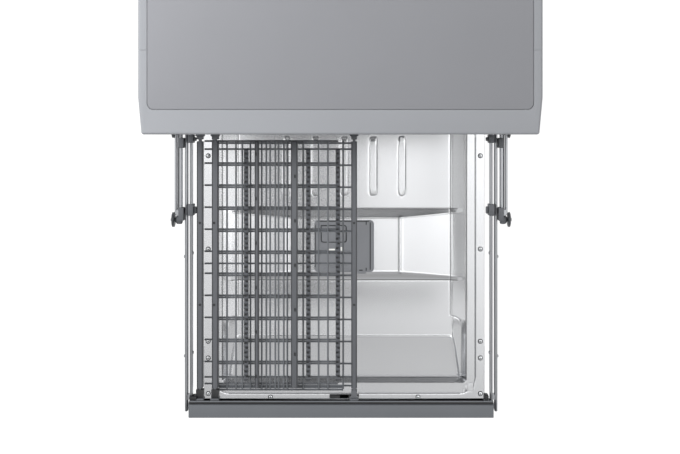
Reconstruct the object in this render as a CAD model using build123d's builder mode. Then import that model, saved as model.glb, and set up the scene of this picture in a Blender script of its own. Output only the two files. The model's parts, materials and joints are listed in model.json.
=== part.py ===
from build123d import *
import os

# A freestanding dishwasher, 60 cm wide, at rest with its door open flat and its cutlery tray pulled out.
# Lengths are millimetres. +Z is up and the front faces -Y. The origin is on the floor, in the middle
# of the footprint that the machine covers with its door open.

# Cabinet
WIDTH = 600.0  # worktop from side to side
HEIGHT = 850.0  # floor to the top of the worktop
DEPTH = 600.0  # worktop from front to back
WORKTOP_T = 35.0  # thickness of the worktop
SHEET = 1.0  # steel of the cabinet and of the outer door
FACE_GAP = 0.4  # seam between two parts that meet on a visible face
PANEL_INSET = 1.5  # side panels behind the worktop's edge
RETURN_W = 13.0  # folded edge of a side panel
REAR_OVERHANG = 25.0  # worktop past the back panel, room for the hoses
FOOT_H = 30.0  # floor to the base
TRAY_WALL = 2.5  # wall of the plastic base
BASE_LOW = 90.0  # top of the base in front, under the door's swing
BASE_HIGH = 150.0  # top of the base behind the door's swing
BASE_STEP = 170.0  # where the high part of the base begins
KICK_SET_BACK = 55.5  # base front behind the worktop's front edge
KICK_T = 2.0
KICK_BOTTOM = 20.0
KICK_TOP = 92.0
KICK_FOLD = 8.0
FOOT_D = 45.0  # levelling foot pad
FOOT_PAD_H = 12.0
FOOT_STEM_D = 10.0
FOOT_NUT_SIDES = 6
FOOT_BOSS_D = 24.0
FOOT_BOSS_H = 25.0
FOOT_FROM_SIDE = 45.0
FOOT_FROM_END = 32.0
BASE_GAP = 1.0  # base inside the side panels
CABINET_GAP = 2.5  # closed door to the side panels
POST_W = 14.0  # upright posts and the rails between them
POST_DEPTH = 26.0
POST_T = 1.5
RAIL_H = 17.0
POST_GAP = 4.0  # posts clear of the panels and of the tub's front

# Worktop: a board in a frame of plastic trims
SIDE_TRIM_W = 13.8
FRONT_TRIM_W = 37.0
REAR_TRIM_W = 14.0
FRONT_TRIM_WRAP = 125.0  # how far the front trim runs back along the sides
TAPER_LENGTH = 55.0  # the sides draw in over the last stretch
TAPER_IN = 5.0
TRIM_CORNER = 4.0
TRIM_ROUND = 4.0
BOARD_CORNER = 10.0
BOARD_DROP = 0.6  # board below the trims

# Door, measured along it from its pivot and up from the pivot's level while it lies open
PIVOT_Z = 187.0
PIVOT_BEHIND_FACE = 55.0  # outer face of the closed door to the pivot
DOOR_SET_BACK = 5.0  # closed door behind the worktop's front edge
DOOR_TOP_GAP = 3.0  # closed door below the worktop
DOOR_TAIL = 70.0  # door below its pivot
DOOR_SIDE_GAP = 5.0  # door inside the worktop's width, on each side
LINER_INSET = 1.0  # liner inside the outer door
LINER_T = 1.2
LINER_TAIL_IN = 3.0  # liner inside the door's lower end
LINER_END_IN = 2.0  # and inside its upper end
HEM_H = 15.0  # folded ends of the outer door
FLANGE_UP = 8.0  # liner flange over the pivot
LAND_UP = 14.0  # raised rim that the seal meets
FLOOR_UP = 2.0  # sunken middle of the liner
LAND_HALF = 275.0
LAND_END_IN = 16.0  # rim's end before the door's end
LAND_CORNER = 34.0
LAND_START = 37.0  # rim's beginning past the pivot
WALL_TOP_HALF = 255.0
WALL_FOOT_HALF = 224.0
BAND_END_HALF = 236.0
WALL_END_IN = 40.0
WALL_END_RUN = 6.5
NOTCH_HALF = 273.5  # liner beside the hinge arms
NOTCH_LENGTH = 28.0
RIB_PITCH = 60.5
RIB_COUNT = 5
RIB_W = 15.0
RIB_LENGTH = 125.0
RIB_START = 69.0
RIB_UP = 1.5
BAND_START = 221.7  # raised band that carries the dispenser
BAND_LENGTH = 149.7
BAND_UP = 10.0
BAND_SLOPE = 18.0
BAND_HALF = 115.0
BAND_END_SHARE = 0.4  # height of the band at its outer ends
VISOR_START = 490.5  # the sloping field near the top of the door
VISOR_DROP = 10.0
VISOR_LENGTH = 88.2
VALLEY_TOP_HALF = 219.0
VALLEY_FOOT_HALF = 242.0
VALLEY_WALL_HALF = 248.0
VALLEY_LENGTH = 124.0
SCREW_HALF = 286.0
SCREW_HEAD_D = 8.0
SCREW_HEAD_H = 1.6
SCREW_STEM_D = 3.5
SCREW_LENGTH = 9.0
SCREW_CROSS_L = 4.8
SCREW_CROSS_W = 1.0
SCREW_STATIONS = (110.0, 306.0, 500.0, 535.0, 610.0)  # along the door
END_SCREW_HALF = 155.0
END_SCREW_STATION = 617.0

# Control strip across the top of the door
FASCIA_LENGTH = 115.0
FASCIA_PROUD = 4.0
FASCIA_WALL = 2.5
FASCIA_ROUND = 2.0
FASCIA_LEDGE = 30.0  # height of the strip's inner edge, under the liner
GRIP_HALF = 90.0
GRIP_LENGTH = 55.0
GRIP_FROM_END = 25.0
GRIP_DEPTH = 30.0
GRIP_WALL = 2.0
GRIP_ROUND = 6.0
BUTTON_W = 22.0
BUTTON_H = 10.0
BUTTON_PROUD = 1.5
BUTTON_DEPTH = 9.0
BUTTON_GAP = 0.5
BUTTON_FROM_END = 45.0
POWER_X = -250.0
PROGRAM_X = -200.0
START_X = 250.0
DISPLAY_X = 165.0
DISPLAY_W = 84.0
DISPLAY_H = 30.0
DISPLAY_T = 3.0

# Dispenser
DISPENSER_W = 124.8
DISPENSER_L = 108.6
DISPENSER_START = 245.0
DISPENSER_CORNER = 8.0
DISPENSER_PROUD = 1.5  # over the raised band
DISPENSER_DEPTH = 40.0
DISPENSER_LIP = 6.0  # lip of the dispenser over the liner
CUP_W = 62.0
CUP_L = 36.0
CUP_DEPTH = 28.0
CUP_X = -19.0
CUP_START = 313.0
LID_LIP = 3.0  # detergent lid past the cup on each side
LID_T = 2.0
LID_GAP = 0.4
LID_RIDGE_PITCH = 4.5
LID_RIDGE_W = 1.6
LID_RIDGE_H = 0.8
LID_RIDGE_IN = 6.0  # ridges inside the cup's width
FLAP_W = 49.0
FLAP_L = 31.5
FLAP_X = -22.0
FLAP_START = 258.0
FLAP_T = 2.2
FLAP_CORNER = 4.0
FLAP_SEAT = 4.0  # flap past the filler's hole
FLAP_WINDOW_CORNER = 2.0
FLAP_WINDOW_W = 16.0
FLAP_WINDOW_L = 5.0
FLAP_WINDOW_OFF = (-8.0, 8.0)  # from the flap's middle
FLAP_PIN_HALF = 16.0

# Hinges
ARM_IN = 275.0  # inner face of a hinge arm
ARM_T = 3.0
ARM_LENGTH = 140.0
ARM_UP = 5.0
ARM_DOWN = 30.0
ARM_EYE_R = 12.0
ARM_FOOT_L = 20.0
BRACKET_IN = 281.0
BRACKET_T = 3.0
BRACKET_UP = 14.0
BRACKET_DOWN = 12.0
BRACKET_FRONT = 14.0
BRACKET_BACK = 118.0
BRACKET_LEG = 26.0
BRACKET_FOOT_IN = 8.0
BRACKET_FOOT_OUT = 10.0
HINGE_PIN_D = 8.0
PIN_GAP = 0.2
HINGE_PIN_IN = 1.0  # hinge pin past the arm
HINGE_PIN_OUT = 2.0  # and past the bracket
LATCH_START = 611.0
LATCH_L = 11.0
LATCH_HALF = 31.0
LATCH_DEPTH = 34.0
LATCH_SLOT_HALF = 9.0
LATCH_SLOT_L = 9.0
LATCH_FLOOR = 3.0
STRIKE_T = 2.0
STRIKE_REACH = 16.0
STRIKE_CLEAR = 3.0

# Tub
TUB_HALF = 271.0
TUB_FRONT_GAP = 21.5  # tub front behind the pivot
TUB_DEPTH = 482.0
TUB_TOP = 785.0
TUB_SILL = 203.0
TUB_T = 1.2
TUB_ROUND = 22.0
TUB_FLANGE = 18.0
TUB_FLANGE_UP = 25.0  # flange above the mouth, high enough for the latch
FLANGE_CLEAR = 5.0  # flange over the hinge brackets
WELL_HALF = 246.0
WELL_FLOOR = 181.0
WELL_FRONT = 56.0  # well behind the tub's front
WELL_BACK = 14.0  # well before the tub's back
WELL_ROUND = 40.0
SEAL_T = 7.0
SEAL_W = 9.5
SILL_SEAL_T = 11.0
SILL_SEAL_H = 5.5

# Water path
ARM_Y = 305.0  # axis of the three spray arms
FEED_D = 34.0
FEED_TOP = 207.0
FEED_GAP = 1.0
FILTER_X = 95.0
FILTER_Y = 250.0
FILTER_D = 92.0
FILTER_BODY_D = 80.0
FILTER_DEPTH = 55.0
FILTER_FLANGE_T = 3.0
FILTER_PLATE_D = 180.0
FILTER_PLATE_T = 1.5
FILTER_PLATE_GAP = 0.5
FILTER_GRIP_T = 6.0
FILTER_GRIP_DOWN = 8.0
FILTER_GRIP_UP = 10.0
SUMP_WALL = 3.0
SUMP_DEPTH = 72.0
SUMP_MARGIN = 12.0
LOWER_ARM_Z = 209.0
LOWER_ARM_LENGTH = 430.0
UPPER_ARM_Z = 468.0
UPPER_ARM_LENGTH = 400.0
SPRAY_W = 34.0
SPRAY_T = 14.0
SPRAY_HUB_D = 60.0
SPRAY_CAP_D = 36.0
SPRAY_CAP_H = 6.0
SPRAY_TURN = 20.0  # degrees off the machine's X axis at rest
NOZZLE_PITCH = 28.0
NOZZLE_W = 3.0
NOZZLE_L = 9.0
NOZZLE_DEPTH = 2.0
NOZZLE_OFF = 5.5  # nozzles off the arm's middle line
CEILING_HEAD_D = 70.0
CEILING_HEAD_Z = 757.0
CEILING_HEAD_T = 11.0
CEILING_HEAD_ROUND = 4.0
CEILING_NOZZLES = 6
CEILING_NOZZLE_R = 23.0
DUCT_W = 28.0
DUCT_T = 21.0
DUCT_TOP_T = 14.0
DUCT_WALL = 2.0
DUCT_ROUND = 8.0
DUCT_END_ROUND = 4.0
DUCT_TOP_GAP = 2.0
DUCT_BACK_GAP = 0.5
DOCK_Z = 492.0
DOCK_D = 22.0
DOCK_LENGTH = 8.0
PUMP_D = 100.0
PUMP_LENGTH = 140.0
PUMP_Z = 100.0
PUMP_Y = 275.0
PUMP_COLLAR = 8.0  # collar past the pump's body, on the radius
PUMP_COLLAR_L = 22.0
PUMP_NECK_D = 40.0
PUMP_NECK_L = 8.0
PUMP_FOOT_W = 60.0
PUMP_FOOT_L = 85.0
PUMP_FOOT_IN = 15.0
DRAIN_D = 60.0
DRAIN_LENGTH = 70.0
DRAIN_COLLAR = 6.0
DRAIN_COLLAR_START = 12.0
DRAIN_COLLAR_L = 18.0
DRAIN_FOOT_W = 36.0
SALT_X = -175.0
SALT_Y = 420.0
SALT_W = 130.0
SALT_L = 140.0
SALT_FLOOR = 55.0
SALT_NECK_D = 68.0
SALT_CAP_D = 82.0
SALT_CAP_H = 12.0
SALT_CAP_ROUND = 3.0
SALT_CAP_RIM = 8.0
SALT_CAP_DISH = 6.0
SALT_GRIP_T = 8.0
SALT_GRIP_BITE = 2.0  # grip's ends in the cap's rim
SALT_FOOT_W = 40.0
SALT_WALL = 3.0
SALT_NECK_UP = 6.0  # neck over the well's floor

# Connections at the back
PORT_Z = 90.0
PORT_FLANGE = 6.0  # flange past the port, each side
PORT_FLANGE_T = 3.0
PORT_INSIDE = 25.0
INLET_X = -250.0
INLET_THREAD_D = 26.4
INLET_BORE_D = 18.0
INLET_LENGTH = 17.0
INLET_WALL = 3.0
VALVE_W = 40.0
VALVE_L = 40.0
VALVE_DOWN = 20.0
VALVE_UP = 30.0
DRAIN_X = -190.0
DRAIN_SPIGOT_D = 20.0
DRAIN_BORE_D = 15.0
DRAIN_SPIGOT_L = 22.0
DRAIN_WALL = 2.0
POWER_SOCKET_X = 230.0
SOCKET_D = 26.0
SOCKET_BORE_D = 9.0
SOCKET_L = 12.0
SOCKET_WALL = 1.5
POWER_BOX_W = 50.0
POWER_BOX_L = 25.0
WEIGHT_W = 240.0  # counterweight along the base's rear wall
WEIGHT_L = 45.0
WEIGHT_H = 45.0
WEIGHT_ROUND = 5.0

# Cutlery tray and its rails
TRAY_Z = 745.0
TRAY_REACH = 444.7  # front of the tray past the worktop's front edge
FASCIA_HALF = 239.0
FASCIA_D = 20.6
FASCIA_UP = 15.0
FASCIA_DOWN = 17.0
LIP_D = 5.6
LIP_UP = 11.0
LIP_H = 16.0
KNOB_DROP = 1.0  # knobs under the lip's top
TENON_L = 13.0  # ends of the front strip that plug into the rails
KNOBS = ((-234.0, -230.0), (225.0, 232.0))
KNOB_L = 7.5
SLIDE_IN = 234.5  # inner bar of a long rail
SLIDE_IN_W = 4.2
SLIDE_OUT = 240.9  # outer bar of a long rail
SLIDE_OUT_W = 5.7
SLIDE_H = 14.0
SLIDE_LENGTH = 470.0
SLIDE_BEHIND = 8.2  # front end of the rail behind the tray's front
SPACER_L = 8.0
STOP_D = 1.6
STOP_L = 4.0
STOP_H = 6.0
STOP_STEP = 5.6  # inner stop behind the outer one
STOP_STATIONS = (84.0, 241.0)
MID_IN = 251.0  # middle rail
MID_W = 11.0
MID_H = 16.0
MID_WALL = 1.5
MID_GROOVE_IN = 3.7
MID_GROOVE_W = 1.8
MID_GROOVE_DEPTH = 0.5
MID_REACH = 124.5  # front of the middle rail past the worktop's edge
MID_LENGTH = 422.0
CARRIAGE_L = 25.0
CARRIAGE_HALF_H = 12.0
CARRIAGE_GAP = 1.9
CARRIAGE_STATIONS = (111.0, 1.5)
ROLLER_D = 24.0
ROLLER_W = 4.0
ROLLER_ROUND = 0.8
ROLLER_IN = 262.8
RUN_GAP = 0.08  # shaft in its hole, on the radius
AXLE_D = 7.0
HUB_D = 12.0
HUB_IN = 3.0
AXLE_PROUD = 0.8
FRONT_ROLLER_AHEAD = 10.6  # front roller past the middle rail's end
MID_ROLLER_BEHIND = 130.0
PAD_L = 25.0
FIXED_IN = 262.5  # fixed rail on the tub's side
FIXED_WALL = 1.5
FIXED_HALF_H = 14.0
FIXED_FRONT = 6.0  # fixed rail behind the tub's front
FIXED_LENGTH = 474.0
BAR_H = 12.0
BARS = ((-222.5, 9.8), (-198.5, 10.4), (-133.0, 6.6), (-73.8, 10.5), (20.4, 9.2))  # middle and width
FOOT_BARS = (0, 1, 4)  # the bars that hook on the front strip and the rear bar
BAR_FRONT_IN = 44.2  # bars behind the tray's front
BAR_LENGTH = 389.0
NECK_W = 4.0
NECK_L = 3.0
CLIP_W = 14.0
HOOK_L = 3.0
REAR_BAR_D = 12.0
REAR_BAR_PLUG = 2.0
REAR_BAR_BEHIND = 11.0  # rear bar behind the bars' rear ends
WIRE_D = 3.2
LONG_WIRES = (-181.1, -166.9, -156.8, -144.0, -126.0, -118.7, -112.7, -104.5, -99.4, -91.1, -85.5,
              -60.3, -35.8, -21.1, 3.1)
CROSS_PITCH = 35.0
CROSS_COUNT = 12
CROSS_FIRST = 11.3  # first cross wire past the worktop's front edge
CROSS_STEP = 3.3  # second set of cross wires ahead of the first
COMBS = (-150.2, -51.9, -5.3)
COMB_W = 7.0
COMB_H = 3.4
TOOTH_PITCH = 7.5
TOOTH_H = 4.0
TOOTH_TIP = 0.75
COMB_IN = 10.0  # combs inside the bars' ends
FRONT_WIRE_D = 7.5
WIRE_IN = 2.0  # wire ends inside the bars' edges

# Baskets
BASKET_HALF = 246.0
BASKET_FRONT = 16.0  # basket behind the tub's front
BASKET_DEPTH = 434.0
GRILLE_T = 3.6
GRILLE_BAR = 3.6
GRILLE_PITCH = 40.0
WALL_ROWS = 3
LOWER_Z = 234.0
LOWER_WALL_H = 130.0
LOWER_FRONT_H = 104.0
UPPER_Z = 500.0
UPPER_WALL_H = 112.0
RIM_BAR = 6.0
WHEEL_D = 34.0
WHEEL_W = 9.0
WHEEL_ROUND = 2.0
WHEEL_SIDE_GAP = 1.0
WHEEL_LIFT = 0.6  # wheel over the sill's level
WHEEL_IN = 257.5
WHEEL_STATIONS = (70.0, 360.0)
WHEEL_AXLE_D = 6.0
WHEEL_BRACKET_L = 36.0
WHEEL_BRACKET_DOWN = 8.0
WHEEL_BRACKET_UP = 30.0
UPPER_RAIL_IN = 247.0
UPPER_RAIL_W = 10.0
UPPER_RAIL_Z = 572.0
UPPER_RAIL_H = 12.0
UPPER_ROLLER_D = 24.0
UPPER_ROLLER_BEHIND = 26.0
UPPER_ROLLER_IN = 1.0  # roller inside the rail's width
UPPER_ROLLER_CLEAR = 0.3
UPPER_RAIL_GAP = 1.5
GUIDE_FRONT = 14.0  # guide ahead of the roller's axle
GUIDE_BACK = 70.0
GUIDE_DOWN = 14.0
GUIDE_UP = 10.0  # guide over the rail
GUIDE_WALL = 3.0
GUIDE_FLANGE_T = 2.0
TINE_D = 3.5
TINE_H = 72.0
TINE_PITCH = 26.0
TINE_COUNT = 9
TINE_X = -225.0
TINE_Y = 200.0
TINE_CLEAR = 5.0
PIN_D = 3.0  # round ends that the folding row and the cup shelf turn on
PIN_L = 10.0
PIN_CLIP_W = 6.0
PIN_CLIP_WALL = 2.5
PIN_CLIP_GAP = 2.0
LONG_ROW_COUNT = 18
FIXED_TINE_ROWS = (340.0, 440.0)
UPPER_TINE_ROWS = (200.0, 400.0)
UPPER_TINE_X = 10.0
FEED_PIPE_H = 14.0
SHELF_X = -238.0
SHELF_W = 84.0
SHELF_START = 60.0
SHELF_LENGTH = 300.0
SHELF_Z = 598.0

# Places that follow from the sizes above
HALF = WIDTH / 2
UNDER = HEIGHT - WORKTOP_T
DOOR_LENGTH = UNDER - DOOR_TOP_GAP - PIVOT_Z
DOOR_REACH = DOOR_LENGTH - PIVOT_BEHIND_FACE - DOOR_SET_BACK
FRONT = (DOOR_REACH - DEPTH) / 2
BACK = FRONT + DEPTH
PIVOT_Y = FRONT + DOOR_SET_BACK + PIVOT_BEHIND_FACE
DOOR_HALF = HALF - DOOR_SIDE_GAP
LINER_HALF = DOOR_HALF - LINER_INSET
FACE_DOWN = PIVOT_BEHIND_FACE
CAB_FRONT = PIVOT_Y + FLANGE_UP + CABINET_GAP
CAB_BACK = BACK - REAR_OVERHANG
PANEL_OUT = HALF - PANEL_INSET
PANEL_IN = PANEL_OUT - SHEET
BASE_FRONT = FRONT + KICK_SET_BACK
BASE_BACK = CAB_BACK - SHEET
BASE_HALF = PANEL_IN - BASE_GAP
TUB_FRONT = PIVOT_Y + TUB_FRONT_GAP
TUB_BACK = TUB_FRONT + TUB_DEPTH
BRACKET_TOP = PIVOT_Z + BRACKET_UP
FLANGE_FOOT = BRACKET_TOP + FLANGE_CLEAR
TRAY_FRONT = FRONT - TRAY_REACH
LIP_REAR = TRAY_FRONT + FASCIA_D + LIP_D
BAR_FRONT = TRAY_FRONT + BAR_FRONT_IN
BAR_REAR = BAR_FRONT + BAR_LENGTH
REAR_BAR_Y = BAR_REAR + REAR_BAR_BEHIND
SLIDE_FRONT = TRAY_FRONT + SLIDE_BEHIND
SLIDE_REAR = SLIDE_FRONT + SLIDE_LENGTH
MID_FRONT = FRONT - MID_REACH
MID_REAR = MID_FRONT + MID_LENGTH
BASKET_Y = TUB_FRONT + BASKET_FRONT
BASKET_BACK = BASKET_Y + BASKET_DEPTH


def along(distance):
    """The Y of a point on the open door, by its distance from the pivot."""
    return PIVOT_Y - distance


def over(height):
    """The Z of a point on the open door, by its height over the pivot."""
    return PIVOT_Z + height


def block(x, y, z, mode=Mode.ADD):
    """A box between two values on each axis, in either order."""
    spans = (x, y, z)
    with Locations(tuple((a + b) / 2 for a, b in spans)):
        Box(*(abs(b - a) for a, b in spans), mode=mode)


def rod(axis, at, diameter, ends, mode=Mode.ADD):
    """A round bar along X, Y or Z, by its two other coordinates and its two ends."""
    middle = (ends[0] + ends[1]) / 2
    place, turn = {
        "X": ((middle, at[0], at[1]), (0, 90, 0)),
        "Y": ((at[0], middle, at[1]), (90, 0, 0)),
        "Z": ((at[0], at[1], middle), (0, 0, 0)),
    }[axis]
    with Locations(Location(place, turn)):
        Cylinder(diameter / 2, abs(ends[1] - ends[0]), mode=mode)


def grille(plane, width, height, rows=None):
    """A flat wire panel, a rim round rows of gaps, that rises from its plane, not yet part of anything."""
    columns = round((width - RIM_BAR) / GRILLE_PITCH)
    rows = rows or round((height - RIM_BAR) / GRILLE_PITCH)
    pitch_x = (width - 2 * RIM_BAR + GRILLE_BAR) / columns
    pitch_y = (height - 2 * RIM_BAR + GRILLE_BAR) / rows
    with BuildSketch(plane) as net:
        Rectangle(width, height)
        with GridLocations(pitch_x, pitch_y, columns, rows):
            Rectangle(pitch_x - GRILLE_BAR, pitch_y - GRILLE_BAR, mode=Mode.SUBTRACT)
    return extrude(net.sketch, amount=GRILLE_T, mode=Mode.PRIVATE)


pieces = {}

# Worktop: one ring of trim, cut at its seams, round the board
SEAM_FRONT = FRONT + FRONT_TRIM_WRAP
SEAM_REAR = BACK - REAR_TRIM_W
board_width = WIDTH - 2 * SIDE_TRIM_W
board_depth = DEPTH - FRONT_TRIM_W - REAR_TRIM_W
board_middle = (0, (FRONT + FRONT_TRIM_W + SEAM_REAR) / 2)

with BuildPart() as trim_ring:
    with BuildSketch(Plane.XY.offset(UNDER)) as ring_face:
        with BuildLine():
            Polyline(
                (-HALF, BACK), (-HALF, FRONT + TAPER_LENGTH), (-HALF + TAPER_IN, FRONT),
                (HALF - TAPER_IN, FRONT), (HALF, FRONT + TAPER_LENGTH), (HALF, BACK), close=True,
            )
        make_face()
        fillet(ring_face.vertices().group_by(Axis.Y)[0], TRIM_CORNER)
        fillet(ring_face.vertices().group_by(Axis.Y)[-1], TRIM_CORNER)
        with Locations(board_middle):
            RectangleRounded(
                board_width + 2 * FACE_GAP, board_depth + 2 * FACE_GAP, BOARD_CORNER, mode=Mode.SUBTRACT
            )
    extrude(amount=WORKTOP_T)
    fillet(trim_ring.faces().sort_by(Axis.Z)[-1].outer_wire().edges(), TRIM_ROUND)

with BuildPart() as worktop_front_trim:
    add(trim_ring.part)
    block((-WIDTH, WIDTH), (FRONT - DEPTH, SEAM_FRONT - FACE_GAP / 2), (0, 2 * HEIGHT), Mode.INTERSECT)
pieces["worktop_front_trim"] = worktop_front_trim

with BuildPart() as worktop_edge_trims:
    add(trim_ring.part)
    block((-WIDTH, WIDTH), (SEAM_FRONT + FACE_GAP / 2, BACK + DEPTH), (0, 2 * HEIGHT), Mode.INTERSECT)
    block((-WIDTH, WIDTH), (SEAM_REAR - FACE_GAP, SEAM_REAR), (0, 2 * HEIGHT), Mode.SUBTRACT)
pieces["worktop_edge_trims"] = worktop_edge_trims

with BuildPart() as worktop_board:
    with BuildSketch(Plane.XY.offset(UNDER)):
        with Locations(board_middle):
            RectangleRounded(board_width, board_depth, BOARD_CORNER)
    extrude(amount=WORKTOP_T - BOARD_DROP)
pieces["worktop_board"] = worktop_board

# Cabinet: two folded side panels, a back panel, a plastic base, posts and rails
with BuildPart() as side_panels:
    block((PANEL_IN, PANEL_OUT), (CAB_FRONT, CAB_BACK), (FOOT_H, UNDER))
    block((PANEL_OUT - RETURN_W, PANEL_OUT), (CAB_FRONT, CAB_FRONT + SHEET), (over(BRACKET_UP), UNDER))
    block((PANEL_OUT - RETURN_W, PANEL_OUT), (CAB_BACK - SHEET, CAB_BACK), (BASE_HIGH, UNDER))
    mirror(about=Plane.YZ)
pieces["side_panels"] = side_panels

with BuildPart() as back_panel:
    half = PANEL_OUT - RETURN_W - FACE_GAP
    block((-half, half), (CAB_BACK - SHEET, CAB_BACK), (BASE_HIGH + FACE_GAP, UNDER))
pieces["back_panel"] = back_panel

foot_places = [
    (side * (HALF - FOOT_FROM_SIDE), y)
    for side in (-1, 1)
    for y in (BASE_FRONT + FOOT_FROM_END, BASE_BACK - FOOT_FROM_END)
]
ports = ((INLET_X, INLET_BORE_D), (DRAIN_X, DRAIN_BORE_D), (POWER_SOCKET_X, SOCKET_BORE_D))

with BuildPart() as base_tray:
    block((-BASE_HALF, BASE_HALF), (BASE_FRONT, BASE_BACK), (FOOT_H, BASE_LOW))
    block((-BASE_HALF, BASE_HALF), (BASE_STEP, BASE_BACK), (FOOT_H, BASE_HIGH))
    inner_half = BASE_HALF - TRAY_WALL
    floor_top = FOOT_H + TRAY_WALL
    block(
        (-inner_half, inner_half), (BASE_FRONT + TRAY_WALL, BASE_BACK - TRAY_WALL),
        (floor_top, BASE_LOW), Mode.SUBTRACT,
    )
    block(
        (-inner_half, inner_half), (BASE_STEP + TRAY_WALL, BASE_BACK - TRAY_WALL),
        (BASE_LOW - TRAY_WALL, BASE_HIGH), Mode.SUBTRACT,
    )
    for x, y in foot_places:
        rod("Z", (x, y), FOOT_BOSS_D, (FOOT_H, FOOT_H + FOOT_BOSS_H))
        rod("Z", (x, y), FOOT_STEM_D + 2 * PIN_GAP, (FOOT_H, FOOT_H + FOOT_BOSS_H), Mode.SUBTRACT)
    for x, bore in ports:
        rod("Y", (x, PORT_Z), bore + 2 * PIN_GAP, (BASE_BACK - 2 * TRAY_WALL, BASE_BACK), Mode.SUBTRACT)
pieces["base_tray"] = base_tray

with BuildPart() as kick_plate:
    block((-BASE_HALF, BASE_HALF), (BASE_FRONT - KICK_T, BASE_FRONT), (KICK_BOTTOM, KICK_TOP))
    kick_fold = BASE_FRONT - KICK_T - KICK_FOLD
    block((-BASE_HALF, BASE_HALF), (kick_fold, BASE_FRONT), (KICK_TOP - KICK_T, KICK_TOP))
pieces["kick_plate"] = kick_plate

with BuildPart() as levelling_feet:
    for x, y in foot_places:
        rod("Z", (x, y), FOOT_D, (0, FOOT_PAD_H))
        rod("Z", (x, y), FOOT_STEM_D, (FOOT_PAD_H, FOOT_H + FOOT_BOSS_H))
        with BuildSketch(Plane.XY.offset(FOOT_PAD_H)):
            with Locations((x, y)):
                RegularPolygon(FOOT_STEM_D, FOOT_NUT_SIDES)
        extrude(amount=FOOT_H - FOOT_PAD_H)
pieces["levelling_feet"] = levelling_feet

post_in = PANEL_IN - POST_GAP - POST_W
post_rear = (TUB_BACK - POST_DEPTH, TUB_BACK)
post_front = (TUB_FRONT + POST_GAP, TUB_FRONT + POST_GAP + POST_DEPTH)
with BuildPart() as frame_rails:
    for y, foot in ((post_front, BRACKET_TOP), (post_rear, floor_top)):
        block((post_in, post_in + POST_W), y, (foot, UNDER))
        block(
            (post_in - POST_T, post_in + POST_W - POST_T), (y[0] + POST_T, y[1] - POST_T), (foot, UNDER),
            Mode.SUBTRACT,
        )
    mirror(about=Plane.YZ)
    rail_half = post_in - FACE_GAP
    for y in (post_front, post_rear):
        block((-rail_half, rail_half), y, (UNDER - RAIL_H, UNDER))
        block(
            (-rail_half, rail_half), (y[0] + POST_T, y[1] - POST_T), (UNDER - RAIL_H, UNDER - POST_T),
            Mode.SUBTRACT,
        )
pieces["frame_rails"] = frame_rails

# Tub: a rounded box open to the front, with a well in its floor for the water
well = ((-WELL_HALF, WELL_HALF), (TUB_FRONT + WELL_FRONT, TUB_BACK - WELL_BACK))
tub_middle_z = (TUB_TOP + TUB_SILL) / 2


def tub_form(grow, front):
    """The tub's space, rounded above and square below, larger by a wall on every side but its front."""
    with BuildSketch(Plane.XZ.offset(-front)) as mouth:
        with Locations((0, tub_middle_z)):
            RectangleRounded(2 * (TUB_HALF + grow), TUB_TOP - TUB_SILL + 2 * grow, TUB_ROUND + grow)
    extrude(mouth.sketch, amount=-(TUB_BACK + grow - front))
    block((-TUB_HALF - grow, TUB_HALF + grow), (front, TUB_BACK + grow), (TUB_SILL - grow, tub_middle_z))
    with BuildSketch(Plane.XY.offset(WELL_FLOOR - grow)) as sink:
        with Locations((0, sum(well[1]) / 2)):
            RectangleRounded(2 * (WELL_HALF + grow), well[1][1] - well[1][0] + 2 * grow, WELL_ROUND + grow)
    extrude(sink.sketch, amount=TUB_SILL - WELL_FLOOR + TUB_ROUND)


with BuildPart() as tub_space:
    tub_form(0, TUB_FRONT - TUB_T)

with BuildPart() as tub:
    tub_form(TUB_T, TUB_FRONT)
    flange_half = TUB_HALF + TUB_FLANGE
    block((-flange_half, flange_half), (TUB_FRONT, TUB_FRONT + TUB_T), (FLANGE_FOOT, TUB_TOP + TUB_FLANGE_UP))
    add(tub_space.part, mode=Mode.SUBTRACT)
    rod("Z", (0, ARM_Y), FEED_D + 2 * PIN_GAP, (WELL_FLOOR - TUB_T, WELL_FLOOR), Mode.SUBTRACT)
    rod("Z", (FILTER_X, FILTER_Y), FILTER_D, (WELL_FLOOR - TUB_T, WELL_FLOOR), Mode.SUBTRACT)
    rod("Z", (SALT_X, SALT_Y), SALT_NECK_D + 2 * PIN_GAP, (WELL_FLOOR - TUB_T, WELL_FLOOR), Mode.SUBTRACT)
pieces["tub"] = tub

seal_top = TUB_TOP + FACE_GAP + SEAL_W
seal_foot = FLANGE_FOOT - TUB_ROUND - SEAL_W
with BuildPart() as tub_gasket:
    with BuildSketch(Plane.XZ.offset(-TUB_FRONT)):
        with Locations((0, (seal_top + seal_foot) / 2)):
            seal_half = TUB_HALF + FACE_GAP
            RectangleRounded(2 * (seal_half + SEAL_W), seal_top - seal_foot, TUB_ROUND)
            RectangleRounded(
                2 * seal_half, seal_top - seal_foot - 2 * SEAL_W, TUB_ROUND - SEAL_W, mode=Mode.SUBTRACT
            )
    extrude(amount=SEAL_T)
    block((-HALF, HALF), (FRONT, TUB_FRONT), (0, FLANGE_FOOT), Mode.SUBTRACT)
    sill_half = TUB_HALF - SEAL_W
    block((-sill_half, sill_half), (TUB_FRONT - SILL_SEAL_T, TUB_FRONT), (TUB_SILL - SILL_SEAL_H, TUB_SILL))
pieces["tub_gasket"] = tub_gasket

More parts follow.
